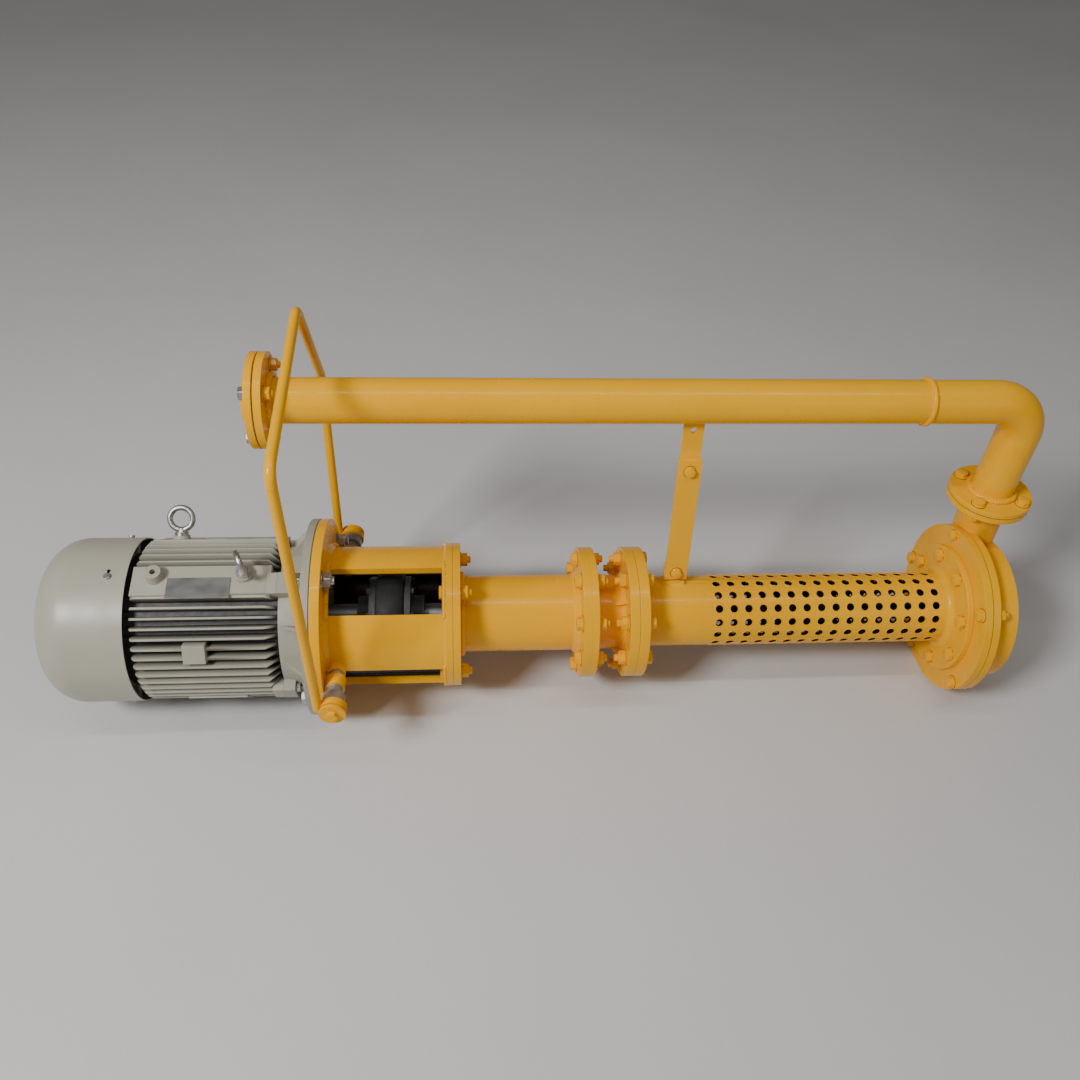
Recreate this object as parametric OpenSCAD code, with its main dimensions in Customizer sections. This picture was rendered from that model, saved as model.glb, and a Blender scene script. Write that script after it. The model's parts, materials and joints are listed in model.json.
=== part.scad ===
// Bentonite slurry pump with its motor, lying on its side.
// X runs along the pump axis from the motor to the suction mouth, and Z is up.
// The origin is the centre of the suction mouth. Angles round the axis are
// measured from +Z towards -Y, which is the side that faces the viewer.

/* [Motor] */
// Diameter of the motor's mounting flange
motor_flange_d = 350; // [344:1:364]
// Thickness of the motor's mounting flange
motor_flange_t = 15; // [12:1:20]
// Distance of the motor's mounting bolts from the edge of its flange
motor_flange_rim = 25; // [22:1:27]
// Thread diameter of the motor's mounting bolts
motor_bolt_d = 16; // [12:1:16]
// Diameter of the register that centres the motor in the stool
register_d = 250; // [246:1:254]
// Height of that register
register_h = 5; // [3:0.5:6]
// Length of the end shield between the flange and the finned frame
shield_len = 43; // [40:1:55]
// Length of the frame that carries the fins
frame_len = 238; // [220:2:280]
// Length of bare frame past the fins, under the cowl
frame_tail = 22; // [16:1:30]
// Diameter over the cooling fins
fin_d = 282; // [276:1:284]
// Height of a cooling fin
fin_h = 24; // [18:1:26]
// Thickness of a cooling fin at its tip
fin_t = 4; // [3:0.5:5]
// Number of cooling fins in a full ring
fin_count = 50; // [44:2:54]
// Length of the chamfer at the drive end of the fins
fin_chamfer = 20; // [10:1:24]
// Bore of the frame, which grips the stator
stator_d = 200; // [196:1:206]
// Length of the stator core
stator_len = 170; // [150:2:180]
// Bore of the stator
stator_bore_d = 130; // [124:1:136]
// Air gap between rotor and stator
air_gap = 0.6; // [0.4:0.1:1]
// Width across the flat pads cast on the frame
pad_w = 54; // [44:1:58]
// Distance of the flat pads from the pump axis
pad_r = 143; // [142:0.5:146]
// Thread diameter of the drive end shield's screws
shield_screw_d = 10; // [8:1:10]
// Diameter of a lifting eye, to the middle of its bar
eye_ring_d = 39; // [36:1:42]
// Diameter of a lifting eye's bar
eye_bar_d = 10; // [9:0.5:11]

/* [Motor cowl and fan] */
// Diameter of the fan cowl
cowl_d = 288; // [287:0.5:292]
// Length of the fan cowl
cowl_len = 158; // [150:1:170]
// Wall of the fan cowl
cowl_t = 2; // [1.5:0.5:3]
// Corner radius of the cowl's domed end
cowl_corner = 62; // [50:1:70]
// Diameter of the cooling fan
fan_d = 236; // [200:2:250]
// Number of fan blades
fan_blades = 8; // [6:1:10]
// Width of the fan blades along the shaft
fan_w = 34; // [30:1:36]
// Gap between the fins and the cowl's lip
cowl_gap = 8; // [5:1:12]

/* [Terminal box] */
// Angle of the terminal box round the axis
box_angle = -129; // [-131:1:-128]
// Length of the terminal box along the motor
box_len = 150; // [130:1:160]
// Width of the terminal box round the motor
box_w = 116; // [104:1:118]
// Distance of the terminal box's lid from the pump axis
box_r = 204.5; // [195:0.5:205]
// Wall of the terminal box
box_t = 5; // [4:0.5:7]
// Thickness of the terminal box's lid
lid_t = 8; // [6:0.5:10]

/* [Shafts and bearings] */
// Diameter of the motor shaft at the coupling
motor_shaft_d = 42; // [38:0.5:44]
// Diameter of the pump shaft at the coupling
pump_shaft_d = 38; // [34:0.5:39]
// Diameter of the pump shaft between its bearings and below
pump_shaft_body_d = 44; // [42:0.5:46]
// Diameter of the pump shaft under the impeller
impeller_seat_d = 32; // [28:0.5:36]
// Outside diameter of the pump bearings
pump_bearing_d = 90; // [84:1:96]
// Width of the pump bearings
pump_bearing_w = 23; // [20:0.5:26]
// Outside diameter of the motor bearings
motor_bearing_d = 90; // [84:1:94]
// Width of the motor bearings
motor_bearing_w = 23; // [20:0.5:25]
// Radial clearance of a shaft that turns in a bearing or seal
run_gap = 0.05; // [0.02:0.01:0.1]

/* [Coupling] */
// Distance from the stool's flange to the motor half of the coupling
coupling_start = 46; // [36:1:50]
// Diameter of the coupling hubs
hub_d = 70; // [64:1:76]
// Diameter of the coupling's clamp flanges
clamp_d = 138; // [130:1:144]
// Thickness of each clamp flange
clamp_t = 11; // [9:0.5:13]
// Diameter of the rubber tyre at its crown
tyre_d = 156; // [150:1:164]
// Width of the rubber tyre between the clamp flanges
tyre_w = 50; // [44:1:56]
// Length of hub outside each clamp flange
hub_len = 23; // [18:1:26]

/* [Motor stool] */
// Length of the stool's windows, between its two flanges
stool_len = 203.5; // [196:0.5:220]
// Outside diameter of the stool's shell
stool_d = 248; // [240:1:252]
// Wall of the stool's shell
stool_wall = 16; // [12:0.5:18]
// Angle that each of the four arms covers
arm_angle = 50; // [44:1:54]
// Thickness of the stool's motor flange
stool_flange_t = 17; // [14:0.5:20]
// Width of the stool's pump flange outside its shell
stool_end_rim = 4.8; // [3.6:0.2:8]
// Thickness of the stool's pump flange and of the flange that meets it
stool_end_t = 12.8; // [11:0.2:15]
// Angle of the middle of the first window
window_angle = 23; // [20:1:26]

/* [Bearing housing] */
// Outside diameter of the bearing housing's tube
housing_d = 138; // [136:0.5:142]
// Wall of the bearing housing's tube
housing_wall = 8; // [6:0.5:10]
// Length of tube between the housing's flanges
housing_len = 211.9; // [200:0.1:240]
// Diameter of the column flanges
flange_d = 237.5; // [234:0.5:244]
// Bolt circle of the column flanges
flange_circle = 196; // [192:1:200]
// Thread diameter of the column bolts
flange_bolt_d = 14; // [12:1:14]
// Number of bolts in a column flange
flange_bolts = 8; // [6:1:8]
// Thickness of the housing's lower flange
housing_end_t = 15; // [12:0.5:18]
// Thickness of a bearing cover
cover_t = 10; // [9:0.5:12]

/* [Neck spool] */
// Thickness of the spool's upper flange
neck_top_t = 12.5; // [10:0.5:16]
// Length between the spool's flanges
neck_len = 53.4; // [50:0.2:70]
// Thickness of the spool's lower flange
neck_end_t = 17; // [14:0.5:20]
// Outside diameter of the spool at its upper flange
neck_d = 140; // [136:1:144]

/* [Strainer column] */
// Outside diameter of the strainer column
strainer_d = 129.6; // [126:0.2:134]
// Wall of the strainer column
strainer_wall = 6; // [5:0.5:8]
// Length between the strainer column's flanges
strainer_len = 568.9; // [566:0.1:640]
// Thickness of the strainer column's upper flange
strainer_top_t = 19; // [15:0.5:22]
// Thickness of the strainer column's lower flange
strainer_end_t = 11.5; // [10:0.5:14]
// Diameter of a strainer hole
strainer_hole_d = 12.5; // [8:0.5:14]
// Distance between strainer holes along the column
strainer_pitch = 26.9; // [24:0.1:28]
// Number of strainer holes along the column
strainer_columns = 16; // [10:1:16]
// Number of strainer holes round the column
strainer_rows = 16; // [8:2:16]
// Distance from the last ring of holes to the lower flange
strainer_margin = 31; // [18:1:40]

/* [Pump casing] */
// Diameter of the casing plate and the volute's rim
casing_d = 313; // [310:1:320]
// Thickness of the casing plate
casing_plate_t = 14; // [12:0.5:18]
// Thickness of the volute's rim
casing_rim_t = 12.7; // [11:0.1:15]
// Bolt circle of the casing
casing_circle = 288; // [287:0.5:292]
// Number of bolts round the casing
casing_bolts = 5; // [4:1:6]
// Thread diameter of the casing bolts
casing_bolt_d = 12; // [10:1:12]
// Diameter of the volute's body
volute_d = 262; // [260:0.5:263]
// Width of the volute's body behind its rim
volute_w = 46.7; // [45:0.1:54]
// Wall of the volute
volute_wall = 8; // [6:0.5:10]
// Radius of the spiral at the tongue
spiral_start = 106; // [104:0.5:107]
// Growth of the spiral over one turn
spiral_growth = 16; // [8:0.5:16]
// Thickness of a gasket
gasket_t = 1; // [0.8:0.1:1.5]
// Thickness of the suction cover
suction_plate_t = 10; // [8:0.5:14]
// Diameter of the suction cover
suction_cover_d = 210; // [200:1:220]
// Length of the suction spigot
spigot_len = 30; // [20:1:50]
// Bore of the suction mouth
suction_d = 80; // [70:1:84]
// Wall of the suction spigot
spigot_wall = 8; // [6:0.5:10]

/* [Impeller] */
// Diameter of the impeller
impeller_d = 200; // [180:1:204]
// Thickness of the impeller's back plate
shroud_t = 6; // [5:0.5:8]
// Height of the impeller's vanes
vane_h = 32; // [26:0.5:34]
// Thickness of a vane
vane_t = 7; // [5:0.5:9]
// Number of vanes
vane_count = 5; // [4:1:6]
// Gap between the impeller and each wall of the casing
impeller_gap = 4; // [3:0.5:6]

/* [Discharge pipe] */
// Distance of the discharge pipe behind the pump axis
pipe_y = 75.9; // [72:0.1:80]
// Height of the discharge pipe above the pump axis
pipe_z = 414; // [406:1:440]
// Outside diameter of the discharge pipe
pipe_d = 73; // [70:0.5:76]
// Bore of the discharge pipe
pipe_bore_d = 63; // [58:0.5:66]
// Height of the joint face of the casing's outlet flange
outlet_joint_z = 213.4; // [208:0.1:225]
// Diameter of the casing's outlet flange
outlet_flange_d = 143; // [140:1:150]
// Thickness of the casing's outlet flange
outlet_flange_t = 10; // [8:0.5:12]
// Distance from the volute's back to the middle of its outlet
outlet_back = 29.4; // [28:0.1:32]
// Radius of the elbow's centre line
elbow_r = 66; // [60:1:80]
// Length of elbow before its weld to the pipe
elbow_len = 181; // [150:1:220]
// Distance the pipe runs past the stool's flange, over the motor
pipe_over = 63.6; // [60:0.2:66]
// Diameter of the flanges at the pipe's open end
end_flange_d = 151.8; // [148:0.2:153]
// Thickness of each flange at the pipe's open end
end_flange_t = 12.2; // [10:0.2:13]
// Bolt circle of the small pipe flanges
pipe_circle = 114; // [112:1:116]
// Thread diameter of the small pipe flanges' bolts
pipe_bolt_d = 12; // [10:1:12]
// Length of the outlet nipple past its flange
nipple_len = 12; // [8:1:16]

/* [Support strap] */
// Distance of the strap from the strainer column's upper flange
strap_offset = 58; // [50:1:70]
// Width of the strap
strap_w = 40; // [34:1:44]
// Thickness of the strap and its lugs
strap_t = 8; // [6:0.5:10]
// Distance of the strap's lower bolt from the pump axis
strap_low = 90; // [88:1:96]
// Distance of the strap's upper bolt from the pump axis
strap_high = 296; // [280:1:310]
// Thread diameter of the strap's bolts
strap_bolt_d = 10; // [8:1:12]

/* [Lifting bail] */
// Distance of the bail's pivots from the stool's flange
pivot_x = 18; // [18:0.5:22]
// Diameter of the bail's round bar
bail_d = 16; // [14:0.5:17]
// Distance of the bail's legs to each side of the pump axis
bail_side = 207; // [205:1:210]
// Height of the front bend
bail_front = 500; // [496:1:520]
// Height of the rear peak
bail_peak = 543; // [538:1:560]
// Distance of the rear peak behind the pump axis
peak_y = 132; // [125:1:140]
// Height of the rear knee
knee_z = 341; // [330:1:350]
// Distance of the rear knee behind the pump axis
knee_y = 260; // [250:1:265]
// Radius of the bends' centre lines
bail_bend = 26; // [20:1:30]
// Lean of the bail towards the motor, in degrees
bail_lean = 0.9; // [0:0.1:2]
// Diameter of the bail's eyes
eye_d = 45; // [43:1:48]
// Thickness of the bail's eyes
eye_t = 12; // [10:0.5:14]
// Diameter of the pivot pins
pin_d = 20; // [16:0.5:20]
// Radial clearance of the bail's eyes on the pins
pin_gap = 0.1; // [0.05:0.05:0.1]

/* [Hidden] */
$fn = 72;

yellow = [0.98, 0.69, 0.02];
motor_grey = [0.66, 0.66, 0.62];
bright_steel = [0.75, 0.75, 0.74];
dark_iron = [0.23, 0.23, 0.24];
rubber_black = [0.10, 0.10, 0.10];
copper = [0.72, 0.43, 0.25];
bronze = [0.72, 0.53, 0.28];

// Small shared allowances
bolt_gap = 1;
weld = 7;
over = 1;

// Stations along X, worked back from the suction mouth
x_cover = -spigot_len;
x_back = x_cover - suction_plate_t;
x_body = x_back - volute_w;
x_rim = x_body - casing_rim_t;
x_plate_face = x_rim - gasket_t;
x_plate = x_plate_face - casing_plate_t;
x_strainer_flange = x_plate - strainer_end_t;
x_strainer = x_strainer_flange - strainer_len;
x_neck_joint = x_strainer - strainer_top_t;
x_neck_end = x_neck_joint - neck_end_t;
x_neck = x_neck_end - neck_len;
x_housing_joint = x_neck - neck_top_t;
x_housing_end = x_housing_joint - housing_end_t;
x_housing = x_housing_end - housing_len;
x_stool_joint = x_housing - stool_end_t;
x_stool_end = x_stool_joint - stool_end_t;
x_stool = x_stool_end - stool_len;
x_motor = x_stool - stool_flange_t;
x_motor_flange = x_motor - motor_flange_t;
x_fins = x_motor_flange - shield_len;
x_fins_end = x_fins - frame_len;
x_frame_end = x_fins_end - frame_tail;
x_cowl = x_fins_end - cowl_gap;
x_cowl_end = x_cowl - cowl_len;
x_outlet = x_back - outlet_back;
x_weld = x_outlet - elbow_len;
x_pipe_end = x_stool - pipe_over;
end_gasket_t = 2;
x_end_joint = x_pipe_end - end_flange_t - end_gasket_t;
x_nipple = x_end_joint - end_flange_t - nipple_len;
x_strap = x_strainer + strap_offset;
x_pivot = x_stool + pivot_x;

// Radii and circles
motor_flange_r = motor_flange_d / 2;
motor_bolt_circle = motor_flange_d - 2 * motor_flange_rim;
stool_end_d = stool_d + 2 * stool_end_rim;
root_r = fin_d / 2 - fin_h;
stator_r = stator_d / 2;
rotor_r = stator_bore_d / 2 - air_gap;
shaft_r = motor_shaft_d / 2;
pump_shaft_r = pump_shaft_d / 2;
pump_body_r = pump_shaft_body_d / 2;
seat_r = impeller_seat_d / 2;
journal_r = pump_shaft_r + 1;
motor_journal_r = shaft_r + 1.5;
cowl_r = cowl_d / 2;
housing_r = housing_d / 2;
housing_bore_r = housing_r - housing_wall;
flange_r = flange_d / 2;
strainer_r = strainer_d / 2;
strainer_bore_r = strainer_r - strainer_wall;
bearing_r = pump_bearing_d / 2;
cover_r = bearing_r + 15;
volute_r = volute_d / 2;
pipe_r = pipe_d / 2;
pipe_bore_r = pipe_bore_d / 2;
stool_r = stool_d / 2;
stool_bore_r = stool_r - stool_wall;
impeller_r = impeller_d / 2;

// Stations of the turning parts
x_clamp = x_stool + coupling_start + hub_len;
x_tyre = x_clamp + clamp_t;
x_tyre_end = x_tyre + tyre_w;
x_pump_hub_end = x_tyre_end + clamp_t + hub_len;
shaft_end_gap = 13;
x_motor_shaft_end = x_tyre + tyre_w / 2 - shaft_end_gap;
x_pump_shaft = x_tyre + tyre_w / 2 + shaft_end_gap;
x_shroud = x_rim + impeller_gap;
x_vanes = x_shroud + shroud_t;
x_vane_end = x_vanes + vane_h;
shield_recess = 14;
x_drive_bearing = x_fins - 8;
x_fan_bearing = x_frame_end - motor_bearing_w - 2;
fan_hub = fan_w + 8;
x_fan = x_fan_bearing - 14 - fan_hub;
x_upper_bearing = x_stool_joint;
x_lower_bearing = x_housing_joint - pump_bearing_w;
x_stator = (x_fins + x_frame_end) / 2 - stator_len / 2;

// Station of the cowl's screws, and their angles: one sits in the keyhole slot on the near side
x_cowl_screw = x_frame_end - 16;
cowl_screw_angles = [14, -43, -133, 137];

// Screws that hold the drive end shield to the frame, in their cast lugs
shield_screw_r = root_r + 15;
shield_lug = 20;
shield_grip = 14;

// Bolt circle of the stool's pump flange, in line with its windows
stool_circle = 2 * (stool_bore_r - 1);

// Lip seals of the bearing covers, and the bush behind the impeller
seal_w = 7;
seal_r = journal_r + 10;
bush_r = pump_body_r + 10;

// Impeller nut, which stops short of the suction bore, and the vanes round it
x_nut = x_vanes + 12;
nut_af = 38;
vane_in_r = nut_af / sqrt(3) + 1;
vane_sweep = 75;

// Washers beside the bail's eyes, small enough to pass its bar, and the pins' heads beyond the bar
pivot_washer_r = 19;
pivot_head_r = 22.5;

// Angles of the fastener rings
frame_angle = 20;
column_angle = 10;
plate_screw_angle = 15;
casing_angle = 50;
quarter = 90;

// Bail outline in its own plane: distance to the side, then height
bail_path = [[-bail_side, 0], [-bail_side - 3, bail_front], [peak_y, bail_peak],
    [knee_y, knee_z], [bail_side, 0]];
bail_offset = eye_d / 2 + bail_d / 2 - 6;

// Slightly fuller bar where a bend starts and ends, which joins it to the straight
bend_swell = 0.3;

// Support strap direction: from the pump axis to the pipe axis
strap_angle = -atan2(pipe_y, pipe_z);
axis_gap = norm([pipe_y, pipe_z]);

// Places its children on the pump axis at x, with their Z along the axis
module along(x) translate([x, 0, 0]) rotate([0, 90, 0]) children();

// Places its children at a distance r from the axis, with their Z pointing out
module round_axis(x, angle, r) translate([x, 0, 0]) rotate([angle, 0, 0]) translate([0, 0, r]) children();

// Places a ring of children, each with its Z along the pump axis
module ring(x, r, count, start) {
    for (i = [0:count - 1])
        translate([x, 0, 0]) rotate([start + i * 360 / count, 0, 0]) translate([0, 0, r]) rotate([0, 90, 0]) children();
}

// Spins an outline of [radius, x] points round the pump axis
module spun(points) rotate([0, 90, 0]) rotate_extrude() polygon(points);

// A plain disc or tube on the pump axis
module disc(x, t, r, bore = 0) {
    along(x) difference() {
        cylinder(h = t, r = r);
        if (bore > 0) translate([0, 0, -over]) cylinder(h = t + 2 * over, r = bore);
    }
}

// Hexagon of a given width across its flats
module hex(af, h) cylinder(h = h, r = af / sqrt(3), $fn = 6);

// Width across the flats of a bolt's head
function across(d) = 1.5 * d + 1;

// Bolt along Z: its head is below z = 0 and its nut is above the grip
module bolt(grip, d, tail = 6) {
    washer_t = 0.15 * d;
    head_t = 0.65 * d;
    nut_t = 0.8 * d;
    translate([0, 0, -washer_t - head_t]) hex(across(d), head_t);
    translate([0, 0, -washer_t]) cylinder(h = washer_t, r = d);
    translate([0, 0, -washer_t]) cylinder(h = grip + 2 * washer_t + nut_t + tail, r = d / 2);
    translate([0, 0, grip]) cylinder(h = washer_t, r = d);
    translate([0, 0, grip + washer_t]) hex(across(d), nut_t);
}

// Screw along Z: its head is below z = 0 and its shank runs up into the metal
module screw(depth, d) {
    head_t = 0.65 * d;
    translate([0, 0, -head_t]) hex(across(d), head_t);
    translate([0, 0, -head_t / 2]) cylinder(h = depth + head_t / 2, r = d / 2);
}

// Motor frame with its fins, pads, lugs and bosses
module fin_outline() {
    circle(r = root_r, $fn = 96);
    for (i = [0:fin_count - 1])
        rotate(i * 360 / fin_count)
            polygon([[root_r - 2, -fin_t / 2 - 1], [fin_d / 2 + 1, -fin_t / 2], [fin_d / 2 + 1, fin_t / 2],
                [root_r - 2, fin_t / 2 + 1]]);
}

module flat_pad(x, angle, length, width, r) {
    round_axis(x, angle, root_r - 4) translate([0, -width / 2, 0]) cube([length, width, r - root_r + 4]);
}

module motor_frame() {
    tip = fin_d / 2;
    lug_len = 18;
    slot = [34, 7, 4];
    color(motor_grey) difference() {
        union() {
            intersection() {
                translate([x_fins_end, 0, 0]) rotate([0, 90, 0]) linear_extrude(frame_len) fin_outline();
                spun([[0, x_fins_end], [tip - 6, x_fins_end], [tip, x_fins_end + 6],
                    [tip, x_fins - fin_chamfer], [root_r + 2, x_fins], [0, x_fins]]);
            }
            disc(x_frame_end, frame_tail, root_r);
            flat_pad(x_fins_end + 1, 17, frame_len - 12, pad_w, pad_r);
            flat_pad(x_fins_end + 20, -37, frame_len - 20, 40, pad_r - 1);
            flat_pad(x_fins_end + 70, 128, 100, 44, pad_r - 1);
            flat_pad(x_fins_end + 85, 68, 37, 34, pad_r + 2);
            flat_pad(x_fins_end + 50, box_angle, box_len, box_w - 20, pad_r + 5);
            for (i = [0:3])
                flat_pad(x_fins - lug_len, frame_angle + i * quarter, lug_len, 38, pad_r + 2);
            round_axis(x_fins_end + 38, 14, root_r) cylinder(h = 42, r1 = 19, r2 = 13);
            round_axis(x_fins_end + 183, 14, root_r) cylinder(h = 34, r1 = 19, r2 = 14);
            round_axis(x_fins_end + 53, -37, root_r) cylinder(h = 31, r1 = 18, r2 = 14);
        }
        along(x_frame_end - over) cylinder(h = frame_len + frame_tail + 2 * over, r = stator_r);
        round_axis(x_fins_end + 38, 14, root_r + 22) cylinder(h = 30, r = 5);
        round_axis(x_fins_end + 183, 14, root_r + 14) cylinder(h = 30, r = 6);
        round_axis(x_fins_end + 53, -37, root_r + 11) cylinder(h = 30, r = 6);
        for (dx = [96, 176])
            round_axis(x_fins_end + dx, -34, pad_r - slot.z) translate([0, -slot.y / 2, 0]) cube([slot.x, slot.y, 10]);
        round_axis(x_fins_end + 78, box_angle, pad_r - 12) cylinder(h = 30, r = 20);
        for (i = [0:3])
            round_axis(x_fins, frame_angle + i * quarter, shield_screw_r) rotate([0, -90, 0])
                cylinder(h = shield_grip + over, r = shield_screw_d / 2);
    }
}

module drive_end_shield() {
    neck_r = motor_bolt_circle / 2 - motor_bolt_d - 2;
    body_r = root_r + 8;
    hub_r = motor_bearing_d / 2 + 12;
    seat_end = x_drive_bearing + motor_bearing_w;
    color(motor_grey) difference() {
        union() {
            spun([[register_d / 2, x_motor + register_h], [register_d / 2, x_motor],
                [motor_flange_r - 2, x_motor], [motor_flange_r, x_motor - 2], [motor_flange_r, x_motor_flange],
                [neck_r, x_motor_flange], [body_r, x_fins], [stator_r, x_fins], [stator_r, x_fins - 6],
                [stator_r - 8, x_fins - 6], [stator_r - 8, x_fins + 8], [hub_r, x_fins + shield_recess],
                [hub_r, x_drive_bearing], [motor_bearing_d / 2, x_drive_bearing],
                [motor_bearing_d / 2, seat_end], [motor_journal_r + 1, seat_end],
                [motor_journal_r + 1, seat_end + 10], [stator_r, seat_end + 10],
                [register_d / 2 - 10, x_motor + register_h]]);
            for (i = [0:3]) {
                flat_pad(x_fins, frame_angle + i * quarter, shield_lug, 38, pad_r + 2);
                for (side = [-14, 14])
                    round_axis(x_fins, 65 + side + i * quarter, 0) rotate([90, 0, 0])
                        translate([0, 0, -3]) linear_extrude(6)
                            polygon([[2, body_r - 6], [2, body_r], [x_motor_flange - x_fins + 1, motor_flange_r - 8],
                                [x_motor_flange - x_fins + 1, body_r - 6]]);
            }
        }
        ring(x_motor_flange - over, motor_bolt_circle / 2, 4, frame_angle)
            cylinder(h = motor_flange_t + register_h + 2 * over, r = motor_bolt_d / 2 + bolt_gap);
        ring(x_fins - over, shield_screw_r, 4, frame_angle)
            cylinder(h = shield_lug + 2 * over, r = shield_screw_d / 2);
        ring(x_fins + shield_lug, shield_screw_r, 4, frame_angle)
            cylinder(h = shield_screw_d - 1, r = across(shield_screw_d) / sqrt(3) + bolt_gap);
    }
}

module fan_end_shield() {
    hub_r = motor_bearing_d / 2 + 8;
    seat_end = x_fan_bearing + motor_bearing_w;
    color(motor_grey) difference() {
        union() {
            spun([[stator_r, x_frame_end + 6], [stator_r, x_frame_end], [root_r, x_frame_end],
                [root_r, x_frame_end - 12], [hub_r + 6, x_frame_end - 16], [hub_r, x_fan_bearing - 3],
                [motor_journal_r + 1, x_fan_bearing - 3], [motor_journal_r + 1, x_fan_bearing],
                [motor_bearing_d / 2, x_fan_bearing], [motor_bearing_d / 2, seat_end],
                [hub_r, seat_end + 4], [stator_r - 10, x_frame_end + 6]]);
            for (a = cowl_screw_angles)
                round_axis(x_frame_end - 24, a, root_r - 8) translate([0, -8, 0])
                    cube([20, 16, cowl_r - cowl_t - root_r + 7.5]);
        }
        for (a = cowl_screw_angles)
            round_axis(x_cowl_screw, a, cowl_r - 20) cylinder(h = 30, r = 3);
    }
}

module shield_screws() {
    color(bright_steel) ring(x_fins + shield_lug, shield_screw_r, 4, frame_angle) rotate([180, 0, 0])
        screw(shield_lug + shield_grip, shield_screw_d);
}

// Outline of the cowl: a straight wall, a round corner and a flat end
function cowl_outline(r, end, corner) = concat([[r, x_cowl]], [for (a = [0:7.5:82.5])
    [r - corner + corner * cos(a), end + corner - corner * sin(a)]], [[r - corner - 12, end]]);

module fan_cowl() {
    inner = cowl_outline(cowl_r - cowl_t, x_cowl_end + cowl_t, cowl_corner - cowl_t);
    ring_step = 15;
    slot_w = 7;
    color(motor_grey) difference() {
        spun(concat(cowl_outline(cowl_r, x_cowl_end, cowl_corner), [[0, x_cowl_end], [0, x_cowl_end + cowl_t]],
            [for (i = [len(inner) - 1:-1:0]) inner[i]]));
        for (r = [22:ring_step:22 + 3 * ring_step])
            for (a = [0:90:270])
                along(x_cowl_end - over) rotate(a + 6)
                    rotate_extrude(angle = 78) translate([r, 0]) square([slot_w, cowl_t + 2 * over]);
        for (a = cowl_screw_angles)
            round_axis(x_cowl_screw, a, cowl_r - 10) cylinder(h = 20, r = 3.2);
        round_axis(x_cowl_screw, cowl_screw_angles[0] - 5, cowl_r - 10) cylinder(h = 20, r = 3.2);
        round_axis(x_cowl_screw, cowl_screw_angles[0] - 2.5, cowl_r - 10)
            translate([-2, -6, 0]) cube([4, 12, 20]);
    }
}

module cowl_screws() {
    color(bright_steel) for (a = cowl_screw_angles)
        round_axis(x_cowl_screw, a, cowl_r + 0.3) {
            translate([0, 0, -14]) cylinder(h = 15, r = 3);
            cylinder(h = 4, r = 5.5);
        }
}

module stator_core() {
    color(dark_iron) disc(x_stator, stator_len, stator_r, stator_bore_d / 2);
}

module stator_windings() {
    winding_len = 26;
    color(copper) {
        disc(x_stator - winding_len, winding_len, stator_r - 12, stator_bore_d / 2 + 4);
        disc(x_stator + stator_len, winding_len, stator_r - 12, stator_bore_d / 2 + 4);
    }
}

// A ball bearing as its two rings joined by the ball track, for a shaft that turns in it
module ball_bearing(x, w, outer_r, shaft) {
    groove = (outer_r - shaft) * 0.3;
    color(bright_steel) difference() {
        disc(x, w, outer_r, shaft + run_gap);
        for (face = [x - over, x + w - 3])
            disc(face, 3 + over, outer_r - groove, shaft + groove);
    }
}

module motor_bearings() {
    for (x = [x_drive_bearing, x_fan_bearing])
        ball_bearing(x, motor_bearing_w, motor_bearing_d / 2, motor_journal_r);
}

// Lifting eye along Z, standing on z = 0
module lifting_eye() {
    collar_t = 6;
    translate([0, 0, -14]) cylinder(h = 16, r = 6);
    cylinder(h = collar_t, r = eye_bar_d + 2);
    translate([0, 0, collar_t - 1]) cylinder(h = 8, r1 = eye_bar_d - 1, r2 = eye_bar_d / 2 + 1);
    translate([0, 0, (eye_bar_d + eye_ring_d) / 2 + 5]) rotate([90, 0, 0])
        rotate_extrude() translate([eye_ring_d / 2, 0]) circle(r = eye_bar_d / 2);
}

module eye_bolts() {
    color(bright_steel) {
        round_axis(x_fins_end + 53, -37, root_r + 31) lifting_eye();
        round_axis(x_fins_end + 183, 14, root_r + 34) rotate([0, 0, -66]) lifting_eye();
    }
}

module rating_plate() {
    plate = [103, 38, 1.5];
    overhang = 7;
    color(bright_steel) round_axis(x_fins_end + 59, 17, pad_r)
        translate([0, -pad_w / 2 - overhang, 0]) cube(plate);
}

// Places its children over the corners of the terminal box
module box_corners(z) {
    for (x = [9, box_len - 9], y = [9 - box_w / 2, box_w / 2 - 9])
        translate([x, y, z]) children();
}

module terminal_box() {
    base_r = pad_r + 5;
    height = box_r - lid_t - base_r;
    color(motor_grey) round_axis(x_fins_end + 50, box_angle, base_r) difference() {
        union() {
            difference() {
                translate([0, -box_w / 2, 0]) cube([box_len, box_w, height]);
                translate([box_t, box_t - box_w / 2, box_t]) cube([box_len - 2 * box_t, box_w - 2 * box_t, height]);
            }
            box_corners(0) cylinder(h = height, r = 7);
        }
        translate([28, 0, -over]) cylinder(h = box_t + 2 * over, r = 20);
        translate([-over, 10, height / 2]) rotate([0, 90, 0]) cylinder(h = box_t + 2 * over, r = 12);
        box_corners(height - 18) cylinder(h = 18 + over, r = 2.5);
    }
}

module terminal_box_lid() {
    color(motor_grey) round_axis(x_fins_end + 50, box_angle, box_r - lid_t) difference() {
        translate([0, -box_w / 2, 0]) cube([box_len, box_w, lid_t]);
        box_corners(-over) cylinder(h = lid_t + 2 * over, r = 3);
        box_corners(lid_t - 4) cylinder(h = 5, r = 5);
    }
}

module lid_screws() {
    color(bright_steel) round_axis(x_fins_end + 50, box_angle, box_r - lid_t) {
        box_corners(-16) cylinder(h = 20, r = 2.5);
        box_corners(lid_t - 4) cylinder(h = 3.5, r = 4.5);
    }
}

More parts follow.
